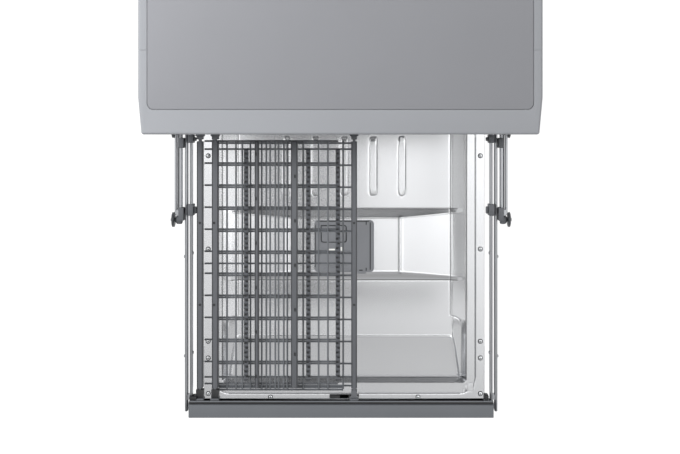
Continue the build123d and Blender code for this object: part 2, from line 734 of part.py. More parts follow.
# Water path under and inside the tub
sump_x = (-FEED_D / 2 - SUMP_MARGIN, FILTER_X + FILTER_D / 2 + SUMP_MARGIN)
sump_y = (FILTER_Y - FILTER_D / 2 - SUMP_MARGIN, ARM_Y + FEED_D / 2 + SUMP_MARGIN)
sump_top = WELL_FLOOR - TUB_T
with BuildPart() as sump:
    block(sump_x, sump_y, (sump_top - SUMP_DEPTH, sump_top))
    fillet(sump.edges().filter_by(Axis.Z), SUMP_MARGIN)
    offset(amount=-SUMP_WALL, openings=sump.faces().sort_by(Axis.Z)[-1])
    rod("Z", (0, ARM_Y), FEED_D, (sump_top - SUMP_DEPTH, FEED_TOP))
    feed_bore = (sump_top - SUMP_DEPTH + SUMP_WALL, FEED_TOP)
    rod("Z", (0, ARM_Y), FEED_D - 2 * SUMP_WALL, feed_bore, Mode.SUBTRACT)
pieces["sump"] = sump

with BuildPart() as filter_plate:
    plate_z = (WELL_FLOOR, WELL_FLOOR + FILTER_PLATE_T)
    rod("Z", (FILTER_X, FILTER_Y), FILTER_PLATE_D, plate_z)
    rod("Z", (FILTER_X, FILTER_Y), FILTER_D + 2 * FILTER_PLATE_GAP, plate_z, Mode.SUBTRACT)
    rod("Z", (0, ARM_Y), FEED_D + 2 * FEED_GAP, plate_z, Mode.SUBTRACT)
pieces["filter_plate"] = filter_plate

with BuildPart() as filter_cup:
    cup_top = WELL_FLOOR + FILTER_FLANGE_T
    rod("Z", (FILTER_X, FILTER_Y), FILTER_BODY_D, (WELL_FLOOR - FILTER_DEPTH, WELL_FLOOR))
    rod("Z", (FILTER_X, FILTER_Y), FILTER_D - 2 * FILTER_PLATE_GAP, (WELL_FLOOR, cup_top))
    inner_d = FILTER_BODY_D - 2 * DUCT_WALL
    rod("Z", (FILTER_X, FILTER_Y), inner_d, (WELL_FLOOR - FILTER_DEPTH + DUCT_WALL, cup_top), Mode.SUBTRACT)
    grip_half = (inner_d + DUCT_WALL) / 2
    block(
        (FILTER_X - grip_half, FILTER_X + grip_half),
        (FILTER_Y - FILTER_GRIP_T / 2, FILTER_Y + FILTER_GRIP_T / 2),
        (cup_top - FILTER_GRIP_DOWN, cup_top + FILTER_GRIP_UP),
    )
pieces["filter_cup"] = filter_cup

pump_end = sump_x[0]
pump_back = pump_end - PUMP_LENGTH
collar_end = pump_end - PUMP_NECK_L
collar_start = collar_end - PUMP_COLLAR_L
sump_middle = sump_top - SUMP_DEPTH / 2
with BuildPart() as circulation_pump:
    rod("X", (PUMP_Y, PUMP_Z), PUMP_D, (pump_back, collar_start))
    rod("X", (PUMP_Y, PUMP_Z), PUMP_D + 2 * PUMP_COLLAR, (collar_start, collar_end))
    rod("X", (PUMP_Y, sump_middle), PUMP_NECK_D, (collar_end, pump_end))
    block(
        (pump_back + PUMP_FOOT_IN, pump_back + PUMP_FOOT_IN + PUMP_FOOT_L),
        (PUMP_Y - PUMP_FOOT_W / 2, PUMP_Y + PUMP_FOOT_W / 2), (floor_top, PUMP_Z),
    )
pieces["circulation_pump"] = circulation_pump

with BuildPart() as drain_pump:
    drain_y = sump_y[1]
    collar_y = (drain_y + DRAIN_COLLAR_START, drain_y + DRAIN_COLLAR_START + DRAIN_COLLAR_L)
    rod("Y", (FILTER_X, sump_middle), DRAIN_D, (drain_y, drain_y + DRAIN_LENGTH))
    rod("Y", (FILTER_X, sump_middle), DRAIN_D + 2 * DRAIN_COLLAR, collar_y)
    block((FILTER_X - DRAIN_FOOT_W / 2, FILTER_X + DRAIN_FOOT_W / 2), collar_y, (floor_top, sump_middle))
pieces["drain_pump"] = drain_pump

salt_top = WELL_FLOOR - TUB_T
with BuildPart() as salt_container:
    salt_x = (SALT_X - SALT_W / 2, SALT_X + SALT_W / 2)
    salt_y = (SALT_Y - SALT_L / 2, SALT_Y + SALT_L / 2)
    block(salt_x, salt_y, (SALT_FLOOR, salt_top))
    fillet(salt_container.edges().filter_by(Axis.Z), SUMP_MARGIN)
    block(
        (salt_x[0] + SALT_WALL, salt_x[1] - SALT_WALL), (salt_y[0] + SALT_WALL, salt_y[1] - SALT_WALL),
        (SALT_FLOOR + SALT_WALL, salt_top - SALT_WALL), Mode.SUBTRACT,
    )
    neck_top = WELL_FLOOR + SALT_NECK_UP
    neck_bore = SALT_NECK_D - 2 * SALT_WALL
    rod("Z", (SALT_X, SALT_Y), SALT_NECK_D, (salt_top - SALT_WALL, neck_top))
    rod("Z", (SALT_X, SALT_Y), neck_bore, (salt_top - 2 * SALT_WALL, neck_top), Mode.SUBTRACT)
    foot_half = SALT_FOOT_W / 2
    block(
        (SALT_X - foot_half, SALT_X + foot_half), (SALT_Y - foot_half, SALT_Y + foot_half),
        (floor_top, SALT_FLOOR),
    )
pieces["salt_container"] = salt_container

with BuildPart() as salt_cap:
    cap_floor = WELL_FLOOR + SALT_NECK_UP + PIN_GAP
    cap_top = cap_floor + SALT_CAP_H
    dish_d = SALT_CAP_D - 2 * SALT_CAP_RIM
    rod("Z", (SALT_X, SALT_Y), SALT_CAP_D, (cap_floor, cap_top))
    fillet(salt_cap.faces().sort_by(Axis.Z)[-1].edges(), SALT_CAP_ROUND)
    rod("Z", (SALT_X, SALT_Y), dish_d, (cap_top - SALT_CAP_DISH, cap_top), Mode.SUBTRACT)
    bar_half = dish_d / 2 + SALT_GRIP_BITE
    block(
        (SALT_X - bar_half, SALT_X + bar_half), (SALT_Y - SALT_GRIP_T / 2, SALT_Y + SALT_GRIP_T / 2),
        (cap_floor, cap_top),
    )
pieces["salt_cap"] = salt_cap

duct_top = TUB_TOP - DUCT_TOP_GAP
duct_back = TUB_BACK - DUCT_BACK_GAP
duct_front = duct_back - DUCT_T
with BuildPart() as supply_duct:
    block((-DUCT_W / 2, DUCT_W / 2), (duct_front, duct_back), (TUB_SILL + FACE_GAP, duct_top))
    block((-DUCT_W / 2, DUCT_W / 2), (ARM_Y - DUCT_W / 2, duct_back), (duct_top - DUCT_TOP_T, duct_top))
    fillet(supply_duct.edges().filter_by(Axis.X).group_by(Axis.Y)[-1].sort_by(Axis.Z)[-1:], DUCT_ROUND)
    rod("Y", (0, DOCK_Z), DOCK_D, (duct_front - DOCK_LENGTH, duct_front))
    dock_bore = (duct_front - DOCK_LENGTH, duct_front + DUCT_WALL)
    rod("Y", (0, DOCK_Z), DOCK_D - 2 * DUCT_WALL, dock_bore, Mode.SUBTRACT)
    fillet(supply_duct.edges().filter_by(Axis.Z).group_by(Axis.Y)[0], DUCT_END_ROUND)
pieces["supply_duct"] = supply_duct


def spray_arm(length, floor):
    """A flat arm with a round hub and rows of nozzles, turned a little off the machine's axes."""
    top = floor + SPRAY_T
    with BuildSketch(Plane.XY.offset(floor)) as shape:
        with Locations(Location((0, ARM_Y), SPRAY_TURN)):
            SlotOverall(length, SPRAY_W)
        with Locations((0, ARM_Y)):
            Circle(SPRAY_HUB_D / 2)
    extrude(shape.sketch, amount=SPRAY_T)
    count = int((length / 2 - SPRAY_HUB_D / 2) // NOZZLE_PITCH) - 1
    with BuildSketch(Plane.XY.offset(top - NOZZLE_DEPTH)) as nozzles:
        with Locations(Location((0, ARM_Y), SPRAY_TURN)):
            for side in (-1, 1):
                for n in range(1, count + 1):
                    with Locations((side * (SPRAY_HUB_D / 2 + n * NOZZLE_PITCH), side * NOZZLE_OFF)):
                        Rectangle(NOZZLE_W, NOZZLE_L)
    extrude(nozzles.sketch, amount=NOZZLE_DEPTH, mode=Mode.SUBTRACT)


with BuildPart() as lower_spray_arm:
    spray_arm(LOWER_ARM_LENGTH, LOWER_ARM_Z)
    cap_foot = LOWER_ARM_Z + SPRAY_T
    rod("Z", (0, ARM_Y), SPRAY_CAP_D, (cap_foot, cap_foot + SPRAY_CAP_H))
pieces["lower_spray_arm"] = lower_spray_arm

with BuildPart() as upper_spray_arm:
    spray_arm(UPPER_ARM_LENGTH, UPPER_ARM_Z)
pieces["upper_spray_arm"] = upper_spray_arm

with BuildPart() as ceiling_spray_head:
    rod("Z", (0, ARM_Y), CEILING_HEAD_D, (CEILING_HEAD_Z, CEILING_HEAD_Z + CEILING_HEAD_T))
    fillet(ceiling_spray_head.faces().sort_by(Axis.Z)[0].edges(), CEILING_HEAD_ROUND)
    with BuildSketch(Plane.XY.offset(CEILING_HEAD_Z)):
        with Locations((0, ARM_Y)):
            with PolarLocations(CEILING_NOZZLE_R, CEILING_NOZZLES):
                Rectangle(NOZZLE_L, NOZZLE_W)
    extrude(amount=NOZZLE_DEPTH, mode=Mode.SUBTRACT)
pieces["ceiling_spray_head"] = ceiling_spray_head


def port(x, outer, bore, length):
    """A round connection through the base's rear wall, with a flange against the wall."""
    rod("Y", (x, PORT_Z), outer + 2 * PORT_FLANGE, (BASE_BACK, BASE_BACK + PORT_FLANGE_T))
    rod("Y", (x, PORT_Z), outer, (BASE_BACK, BASE_BACK + PORT_FLANGE_T + length))
    rod("Y", (x, PORT_Z), bore, (BASE_BACK - PORT_INSIDE, BASE_BACK))


port_back = BASE_BACK - PORT_INSIDE
with BuildPart() as water_inlet:
    port(INLET_X, INLET_THREAD_D, INLET_BORE_D, INLET_LENGTH)
    block(
        (INLET_X - VALVE_W / 2, INLET_X + VALVE_W / 2), (port_back - VALVE_L, port_back),
        (PORT_Z - VALVE_DOWN, PORT_Z + VALVE_UP),
    )
    rod("Y", (INLET_X, PORT_Z), INLET_BORE_D - 2 * INLET_WALL, (port_back, BACK), Mode.SUBTRACT)
pieces["water_inlet"] = water_inlet

with BuildPart() as drain_spigot:
    port(DRAIN_X, DRAIN_SPIGOT_D, DRAIN_BORE_D, DRAIN_SPIGOT_L)
    rod("Y", (DRAIN_X, PORT_Z), DRAIN_BORE_D - 2 * DRAIN_WALL, (port_back, BACK), Mode.SUBTRACT)
pieces["drain_spigot"] = drain_spigot

with BuildPart() as power_inlet:
    port(POWER_SOCKET_X, SOCKET_D, SOCKET_BORE_D, SOCKET_L)
    box_half = POWER_BOX_W / 2
    block(
        (POWER_SOCKET_X - box_half, POWER_SOCKET_X + box_half), (port_back - POWER_BOX_L, port_back),
        (PORT_Z - box_half, PORT_Z + box_half),
    )
    rod("Y", (POWER_SOCKET_X, PORT_Z), SOCKET_BORE_D - 2 * SOCKET_WALL, (port_back, BACK), Mode.SUBTRACT)
pieces["power_inlet"] = power_inlet

with BuildPart() as counterweight:
    weight_back = BASE_BACK - TRAY_WALL
    weight_y = (weight_back - WEIGHT_L, weight_back)
    block((-WEIGHT_W / 2, WEIGHT_W / 2), weight_y, (floor_top, floor_top + WEIGHT_H))
    fillet(counterweight.edges().filter_by(Axis.Z), WEIGHT_ROUND)
pieces["counterweight"] = counterweight

# Hinges: a pin on each side, held by a bracket, through an arm in the door
with BuildPart() as hinge_brackets:
    plate_x = (BRACKET_IN, BRACKET_IN + BRACKET_T)
    leg_y = (PIVOT_Y + BRACKET_BACK - BRACKET_LEG, PIVOT_Y + BRACKET_BACK)
    block(plate_x, (PIVOT_Y - BRACKET_FRONT, PIVOT_Y + BRACKET_BACK), (over(-BRACKET_DOWN), over(BRACKET_UP)))
    block(plate_x, leg_y, (floor_top, over(BRACKET_UP)))
    foot_x = (BRACKET_IN - BRACKET_FOOT_IN, BRACKET_IN + BRACKET_FOOT_OUT)
    block(foot_x, leg_y, (floor_top, floor_top + BRACKET_T))
    rod("X", (PIVOT_Y, PIVOT_Z), HINGE_PIN_D, (ARM_IN - HINGE_PIN_IN, plate_x[1] + HINGE_PIN_OUT))
    mirror(about=Plane.YZ)
pieces["hinge_brackets"] = hinge_brackets

with BuildPart() as hinge_arms:
    arm_x = (ARM_IN, ARM_IN + ARM_T)
    block(arm_x, (along(ARM_EYE_R), along(ARM_LENGTH)), (over(-ARM_DOWN), over(ARM_UP)))
    block(arm_x, (along(0), along(ARM_EYE_R)), (over(-ARM_EYE_R), over(ARM_UP)))
    rod("X", (PIVOT_Y, PIVOT_Z), 2 * ARM_EYE_R, arm_x)
    foot_y = (along(ARM_LENGTH - ARM_FOOT_L), along(ARM_LENGTH))
    block((ARM_IN, DOOR_HALF - SHEET), foot_y, (over(-ARM_DOWN), over(ARM_UP)))
    rod("X", (PIVOT_Y, PIVOT_Z), HINGE_PIN_D + 2 * RUN_GAP, arm_x, Mode.SUBTRACT)
    mirror(about=Plane.YZ)
pieces["hinge_arms"] = hinge_arms

# Door
wall_top = FLANGE_UP - LINER_T
with BuildPart() as door_outer_panel:
    panel_end = DOOR_LENGTH - FASCIA_LENGTH
    door_x = (-DOOR_HALF, DOOR_HALF)
    hem_z = (over(-FACE_DOWN), over(-FACE_DOWN + HEM_H))
    block(door_x, (along(-DOOR_TAIL), along(panel_end)), (over(-FACE_DOWN), over(wall_top)))
    block(
        (-DOOR_HALF + SHEET, DOOR_HALF - SHEET), (along(-DOOR_TAIL), along(panel_end)),
        (over(-FACE_DOWN + SHEET), over(wall_top)), Mode.SUBTRACT,
    )
    block(door_x, (along(-DOOR_TAIL), along(-DOOR_TAIL + SHEET)), hem_z)
    block(door_x, (along(panel_end - SHEET), along(panel_end)), hem_z)
pieces["door_outer_panel"] = door_outer_panel

liner_end = DOOR_LENGTH - LINER_END_IN
land_end = DOOR_LENGTH - LAND_END_IN
wall_end = DOOR_LENGTH - WALL_END_IN
liner_depth = FACE_DOWN / 2


def liner_form(wall):
    """Everything under the liner's upper surface, or under its lower surface where a wall is given."""
    base = over(-liner_depth)
    liner_y = (along(LINER_TAIL_IN - DOOR_TAIL), along(liner_end))
    block((-LINER_HALF, LINER_HALF), liner_y, (base, over(FLANGE_UP - wall)))
    with BuildSketch(Plane.XY.offset(base)) as land:
        with Locations((0, along((LAND_START + land_end) / 2))):
            RectangleRounded(2 * (LAND_HALF - wall), land_end - LAND_START - 2 * wall, LAND_CORNER - wall)
    extrude(land.sketch, amount=liner_depth + LAND_UP - wall)

    # the sunken middle, with sloping walls
    sunk = []
    levels = ((wall_end, WALL_TOP_HALF, LAND_UP), (wall_end - WALL_END_RUN, WALL_FOOT_HALF, FLOOR_UP))
    for end, half, up in levels:
        with BuildSketch(Plane.XY.offset(over(up - wall))) as level:
            with Locations((0, along((LAND_START + end) / 2))):
                Rectangle(2 * (half + wall), end - LAND_START + 2 * wall)
        sunk.append(level.sketch)
    loft(sunk, ruled=True, mode=Mode.SUBTRACT)

    # the sloping field near the door's top, and the valley on each side of it
    floor_z, foot_z, rim_z = over(FLOOR_UP - wall), over(FLOOR_UP - VISOR_DROP - wall), over(LAND_UP)
    visor_end = VISOR_START + VISOR_LENGTH
    with BuildSketch(Plane.YZ.offset(-VALLEY_WALL_HALF - wall)) as visor:
        with BuildLine():
            Polyline(
                (along(VISOR_START), floor_z), (along(visor_end + wall), foot_z),
                (along(visor_end + wall), rim_z), (along(VISOR_START), rim_z), close=True,
            )
        make_face()
    extrude(visor.sketch, amount=2 * (VALLEY_WALL_HALF + wall), mode=Mode.SUBTRACT)
    for side in (-1, 1):
        with BuildSketch(Plane.XZ.offset(-along(visor_end + wall))) as valley:
            with BuildLine():
                Polyline(
                    (side * VALLEY_TOP_HALF, floor_z), (side * VALLEY_FOOT_HALF, foot_z),
                    (side * (VALLEY_WALL_HALF + wall), foot_z), (side * (WALL_TOP_HALF + wall), rim_z),
                    (side * VALLEY_TOP_HALF, rim_z), close=True,
                )
            make_face()
        extrude(valley.sketch, amount=-VALLEY_LENGTH - 2 * wall, mode=Mode.SUBTRACT)

    # the raised band that carries the dispenser
    band = []
    band_end = BAND_START + BAND_LENGTH
    full = ((BAND_HALF, 1.0), (-BAND_HALF, 1.0))
    for half, share in ((BAND_END_HALF, BAND_END_SHARE), *full, (-BAND_END_HALF, BAND_END_SHARE)):
        run, crest_z = BAND_SLOPE * share, floor_z + BAND_UP * share
        with BuildSketch(Plane.YZ.offset(half)) as section:
            with BuildLine():
                Polyline(
                    (along(BAND_START), floor_z), (along(BAND_START + run), crest_z),
                    (along(band_end - run), crest_z), (along(band_end), floor_z), close=True,
                )
            make_face()
        band.append(section.sketch)
    loft(band, ruled=True)

    # pressed ribs near the hinges
    with BuildSketch(Plane.XY.offset(base)) as ribs:
        with Locations((0, along(RIB_START + RIB_LENGTH / 2))):
            with GridLocations(RIB_PITCH, 1, RIB_COUNT, 1):
                SlotOverall(RIB_LENGTH - 2 * wall, RIB_W - 2 * wall, rotation=90)
    extrude(ribs.sketch, amount=liner_depth + FLOOR_UP + RIB_UP - wall)


def screw_places():
    """Where the liner's screws stand: down both sides, and across the door's end."""
    sides = [(side * SCREW_HALF, along(u)) for side in (-1, 1) for u in SCREW_STATIONS]
    return sides + [(side * END_SCREW_HALF, along(END_SCREW_STATION)) for side in (-1, 1)]


dispenser_middle = (0, along(DISPENSER_START + DISPENSER_L / 2))
latch_y = (along(LATCH_START), along(LATCH_START + LATCH_L))

with BuildPart() as liner_under:
    liner_form(LINER_T)

with BuildPart() as door_liner:
    liner_form(0)
    add(liner_under.part, mode=Mode.SUBTRACT)
    for side in (-1, 1):
        block(
            (side * NOTCH_HALF, side * HALF), (along(-DOOR_TAIL), along(NOTCH_LENGTH)),
            (over(-liner_depth), over(LAND_UP)), Mode.SUBTRACT,
        )
    with BuildSketch(Plane.XY.offset(over(-liner_depth))):
        with Locations(dispenser_middle):
            RectangleRounded(
                DISPENSER_W - 2 * DISPENSER_LIP, DISPENSER_L - 2 * DISPENSER_LIP, DISPENSER_CORNER
            )
    extrude(amount=2 * liner_depth, mode=Mode.SUBTRACT)
    block((-LATCH_HALF, LATCH_HALF), latch_y, (over(0), over(LAND_UP)), Mode.SUBTRACT)
    for x, y in screw_places():
        rod("Z", (x, y), SCREW_STEM_D + 2 * PIN_GAP, (over(0), over(LAND_UP)), Mode.SUBTRACT)
pieces["door_liner"] = door_liner

with BuildPart() as door_screws:
    for x, y in screw_places():
        rod("Z", (x, y), SCREW_STEM_D, (over(FLANGE_UP - SCREW_LENGTH), over(FLANGE_UP)))
        rod("Z", (x, y), SCREW_HEAD_D, (over(FLANGE_UP), over(FLANGE_UP + SCREW_HEAD_H)))
        for turn in (0, 90):
            with Locations(Location((x, y, over(FLANGE_UP + SCREW_HEAD_H)), (0, 0, turn))):
                Box(SCREW_CROSS_L, SCREW_CROSS_W, SCREW_HEAD_H, mode=Mode.SUBTRACT)
pieces["door_screws"] = door_screws

with BuildPart() as door_latch:
    latch_foot = FLANGE_UP - LATCH_DEPTH
    slot_y = sum(latch_y) / 2
    block(
        (-LATCH_HALF + PIN_GAP, LATCH_HALF - PIN_GAP), (latch_y[0] - PIN_GAP, latch_y[1] + PIN_GAP),
        (over(latch_foot), over(FLANGE_UP)),
    )
    block(
        (-LATCH_SLOT_HALF, LATCH_SLOT_HALF), (slot_y - LATCH_SLOT_L / 2, slot_y + LATCH_SLOT_L / 2),
        (over(latch_foot + LATCH_FLOOR), over(FLANGE_UP)), Mode.SUBTRACT,
    )
pieces["door_latch"] = door_latch

strike_z = over(LATCH_START + LATCH_L / 2)
strike_half = LATCH_SLOT_HALF - STRIKE_CLEAR
with BuildPart() as latch_strike:
    plate_half = 2 * LATCH_SLOT_HALF
    block((-plate_half, plate_half), (TUB_FRONT - STRIKE_T, TUB_FRONT), (seal_top, strike_z + STRIKE_T))
    block(
        (-strike_half, strike_half), (PIVOT_Y + FLANGE_UP - STRIKE_REACH, TUB_FRONT),
        (strike_z - STRIKE_T, strike_z + STRIKE_T / 2),
    )
pieces["latch_strike"] = latch_strike

# Control strip with its grip, display and buttons on the door's outer side
fascia_start = DOOR_LENGTH - FASCIA_LENGTH + FACE_GAP
fascia_face = -FACE_DOWN - FASCIA_PROUD
grip_y = (along(DOOR_LENGTH - GRIP_FROM_END), along(DOOR_LENGTH - GRIP_FROM_END - GRIP_LENGTH))
button_y = along(DOOR_LENGTH - BUTTON_FROM_END)
button_places = {"power_button": POWER_X, "program_button": PROGRAM_X, "start_button": START_X}
display_x = (DISPLAY_X - DISPLAY_W / 2, DISPLAY_X + DISPLAY_W / 2)
display_y = (button_y - DISPLAY_H / 2, button_y + DISPLAY_H / 2)
face_z = (over(fascia_face), over(fascia_face + FASCIA_WALL))
fascia_in = (-DOOR_HALF + FASCIA_WALL, DOOR_HALF - FASCIA_WALL)
inner_start = fascia_start + FASCIA_WALL
hole_w = BUTTON_W / 2 + BUTTON_GAP
hole_h = BUTTON_H / 2 + BUTTON_GAP
with BuildPart() as control_fascia:
    outer_y = (along(fascia_start), along(DOOR_LENGTH))
    block((-DOOR_HALF, DOOR_HALF), outer_y, (over(fascia_face), over(wall_top)))
    fillet(control_fascia.edges().filter_by(Axis.X).group_by(Axis.Z)[0].sort_by(Axis.Y)[0], FASCIA_ROUND)
    block(
        fascia_in, (along(inner_start), along(DOOR_LENGTH - FASCIA_WALL)),
        (over(fascia_face + FASCIA_WALL), over(wall_top)), Mode.SUBTRACT,
    )
    block(
        fascia_in, (along(fascia_start), along(inner_start)),
        (over(fascia_face + FASCIA_LEDGE), over(wall_top)), Mode.SUBTRACT,
    )
    block((-GRIP_HALF, GRIP_HALF), grip_y, face_z, Mode.SUBTRACT)
    block(display_x, display_y, face_z, Mode.SUBTRACT)
    for x in button_places.values():
        block((x - hole_w, x + hole_w), (button_y - hole_h, button_y + hole_h), face_z, Mode.SUBTRACT)
pieces["control_fascia"] = control_fascia

with BuildPart() as handle_grip:
    block(
        (-GRIP_HALF + PIN_GAP, GRIP_HALF - PIN_GAP), (grip_y[0] + PIN_GAP, grip_y[1] - PIN_GAP),
        (over(fascia_face), over(fascia_face + GRIP_DEPTH)),
    )
    fillet(handle_grip.faces().sort_by(Axis.Z)[-1].edges(), GRIP_ROUND)
    offset(amount=-GRIP_WALL, openings=handle_grip.faces().sort_by(Axis.Z)[0])
pieces["handle_grip"] = handle_grip

with BuildPart() as display_window:
    block(
        (display_x[0] + PIN_GAP, display_x[1] - PIN_GAP), (display_y[0] + PIN_GAP, display_y[1] - PIN_GAP),
        (over(fascia_face), over(fascia_face + DISPLAY_T)),
    )
pieces["display_window"] = display_window

button_face = fascia_face - BUTTON_PROUD
for name, x in button_places.items():
    with BuildPart() as button:
        block(
            (x - BUTTON_W / 2, x + BUTTON_W / 2), (button_y - BUTTON_H / 2, button_y + BUTTON_H / 2),
            (over(button_face), over(button_face + BUTTON_DEPTH)),
        )
        fillet(button.faces().sort_by(Axis.Z)[0].edges(), BUTTON_PROUD / 2)
    pieces[name] = button

# Dispenser: a cup with a sliding lid, and a hinged flap over the rinse aid
dispenser_top = over(FLOOR_UP + BAND_UP + DISPENSER_PROUD)
cup_middle = (CUP_X, along(CUP_START + CUP_L / 2))
flap_middle = (FLAP_X, along(FLAP_START + FLAP_L / 2))
with BuildPart() as dispenser_body:
    with BuildSketch(Plane.XY.offset(dispenser_top - DISPENSER_PROUD)):
        with Locations(dispenser_middle):
            RectangleRounded(DISPENSER_W, DISPENSER_L, DISPENSER_CORNER)
    extrude(amount=DISPENSER_PROUD)
    with BuildSketch(Plane.XY.offset(dispenser_top - DISPENSER_DEPTH)):
        with Locations(dispenser_middle):
            inset = DISPENSER_LIP + PIN_GAP
            RectangleRounded(DISPENSER_W - 2 * inset, DISPENSER_L - 2 * inset, DISPENSER_CORNER)
    extrude(amount=DISPENSER_DEPTH)
    with BuildSketch(Plane.XY.offset(dispenser_top - CUP_DEPTH)):
        with Locations(cup_middle):
            RectangleRounded(CUP_W, CUP_L, DISPENSER_CORNER)
    extrude(amount=CUP_DEPTH, mode=Mode.SUBTRACT)
    with BuildSketch(Plane.XY.offset(dispenser_top - CUP_DEPTH)):
        with Locations(flap_middle):
            Circle(FLAP_L / 2 - FLAP_SEAT)
    extrude(amount=CUP_DEPTH, mode=Mode.SUBTRACT)
pieces["dispenser_body"] = dispenser_body

with BuildPart() as detergent_lid:
    with BuildSketch(Plane.XY.offset(dispenser_top + LID_GAP)):
        with Locations(cup_middle):
            RectangleRounded(CUP_W + 2 * LID_LIP, CUP_L + 2 * LID_LIP, DISPENSER_CORNER)
    extrude(amount=LID_T)
    lid_top = dispenser_top + LID_GAP + LID_T
    ridge_half = CUP_W / 2 - LID_RIDGE_IN
    for step in range(-1, 2):
        y = cup_middle[1] - CUP_L / 4 + LID_RIDGE_PITCH * step
        block(
            (CUP_X - ridge_half, CUP_X + ridge_half), (y - LID_RIDGE_W / 2, y + LID_RIDGE_W / 2),
            (lid_top, lid_top + LID_RIDGE_H),
        )
pieces["detergent_lid"] = detergent_lid

flap_floor = dispenser_top + LID_GAP
flap_pin_y = flap_middle[1] + FLAP_L / 2
with BuildPart() as rinse_aid_flap:
    with BuildSketch(Plane.XY.offset(flap_floor)):
        with Locations(flap_middle):
            RectangleRounded(FLAP_W, FLAP_L, FLAP_CORNER)
            with Locations(FLAP_WINDOW_OFF):
                RectangleRounded(FLAP_WINDOW_W, FLAP_WINDOW_L, FLAP_WINDOW_CORNER, mode=Mode.SUBTRACT)
    extrude(amount=FLAP_T)
    rod("X", (flap_pin_y, flap_floor + FLAP_T / 2), FLAP_T, (FLAP_X - FLAP_PIN_HALF, FLAP_X + FLAP_PIN_HALF))
pieces["rinse_aid_flap"] = rinse_aid_flap

# Cutlery tray: telescopic rails on both sides, a strip in front, a bar behind, and the rack between
bars = [(x - width / 2, x + width / 2) for x, width in BARS]
mid_out = MID_IN + MID_W


def tray_z(low, high):
    """Two heights about the tray's level."""
    return (TRAY_Z + low, TRAY_Z + high)


with BuildPart() as tray_fixed_rails:
    fixed_y = (TUB_FRONT + FIXED_FRONT, TUB_FRONT + FIXED_FRONT + FIXED_LENGTH)
    block((FIXED_IN, TUB_HALF), fixed_y, tray_z(-FIXED_HALF_H, FIXED_HALF_H))
    channel = FIXED_HALF_H - FIXED_WALL
    block((FIXED_IN, TUB_HALF - FIXED_WALL), fixed_y, tray_z(-channel, channel), Mode.SUBTRACT)
    mirror(about=Plane.YZ)
pieces["tray_fixed_rails"] = tray_fixed_rails

front_roller_y = MID_FRONT - FRONT_ROLLER_AHEAD
mid_roller_y = MID_FRONT + MID_ROLLER_BEHIND
carriages = [FRONT - station for station in CARRIAGE_STATIONS]
with BuildPart() as tray_mid_rails:
    mid_y = (MID_FRONT, MID_REAR)
    mid_inner = MID_H / 2 - MID_WALL
    groove_x = (MID_IN + MID_GROOVE_IN, MID_IN + MID_GROOVE_IN + MID_GROOVE_W)
    block((MID_IN, mid_out), mid_y, tray_z(-MID_H / 2, MID_H / 2))
    block((MID_IN, mid_out - MID_WALL), mid_y, tray_z(-mid_inner, mid_inner), Mode.SUBTRACT)
    block(groove_x, mid_y, tray_z(MID_H / 2 - MID_GROOVE_DEPTH, MID_H / 2), Mode.SUBTRACT)
    slide_gap = (SLIDE_IN - CARRIAGE_GAP, SLIDE_OUT + SLIDE_OUT_W + CARRIAGE_GAP)
    slide_room = SLIDE_H / 2 + FACE_GAP
    for y in carriages:
        carriage_y = (y - CARRIAGE_L, y)
        block((slide_gap[0] - CARRIAGE_GAP, MID_IN), carriage_y, tray_z(-CARRIAGE_HALF_H, CARRIAGE_HALF_H))
        block(slide_gap, carriage_y, tray_z(-slide_room, slide_room), Mode.SUBTRACT)
    block((MID_IN + HUB_IN, mid_out), (front_roller_y, MID_FRONT + HUB_D), tray_z(-HUB_D / 2, HUB_D / 2))
    rod("X", (front_roller_y, TRAY_Z), HUB_D, (MID_IN + HUB_IN, mid_out))
    for y in (front_roller_y, mid_roller_y):
        rod("X", (y, TRAY_Z), AXLE_D, (mid_out - MID_WALL, ROLLER_IN + ROLLER_W + AXLE_PROUD))
    pad = FIXED_HALF_H - FIXED_WALL - FACE_GAP
    pad_y = (MID_REAR - 2 * PAD_L, MID_REAR - PAD_L)
    block((mid_out, TUB_HALF - FIXED_WALL - FACE_GAP), pad_y, tray_z(-pad, pad))
    mirror(about=Plane.YZ)
pieces["tray_mid_rails"] = tray_mid_rails

for name, y in (("tray_front_rollers", front_roller_y), ("tray_middle_rollers", mid_roller_y)):
    with BuildPart() as rollers:
        rod("X", (y, TRAY_Z), ROLLER_D, (ROLLER_IN, ROLLER_IN + ROLLER_W))
        fillet(rollers.edges().filter_by(GeomType.CIRCLE), ROLLER_ROUND)
        rod("X", (y, TRAY_Z), AXLE_D + 2 * RUN_GAP, (ROLLER_IN, ROLLER_IN + ROLLER_W), Mode.SUBTRACT)
        mirror(about=Plane.YZ)
    pieces[name] = rollers

slide_z = tray_z(-SLIDE_H / 2, SLIDE_H / 2)
slide_side = SLIDE_OUT + SLIDE_OUT_W
stop_z = tray_z(-STOP_H / 2, STOP_H / 2)
with BuildPart() as tray_long_rails:
    block((SLIDE_OUT, slide_side), (SLIDE_FRONT, SLIDE_REAR), slide_z)
    block((SLIDE_IN, SLIDE_IN + SLIDE_IN_W), (LIP_REAR, SLIDE_REAR), slide_z)
    for y in (LIP_REAR, SLIDE_REAR - SPACER_L):
        block((SLIDE_IN + SLIDE_IN_W, SLIDE_OUT), (y, y + SPACER_L), slide_z)
    for station in STOP_STATIONS:
        y = SLIDE_FRONT + station
        inner_stop = y + STOP_STEP
        block((slide_side, slide_side + STOP_D), (y, y + STOP_L), stop_z)
        block((SLIDE_IN - STOP_D, SLIDE_IN), (inner_stop, inner_stop + STOP_L), stop_z)
    mirror(about=Plane.YZ)
pieces["tray_long_rails"] = tray_long_rails

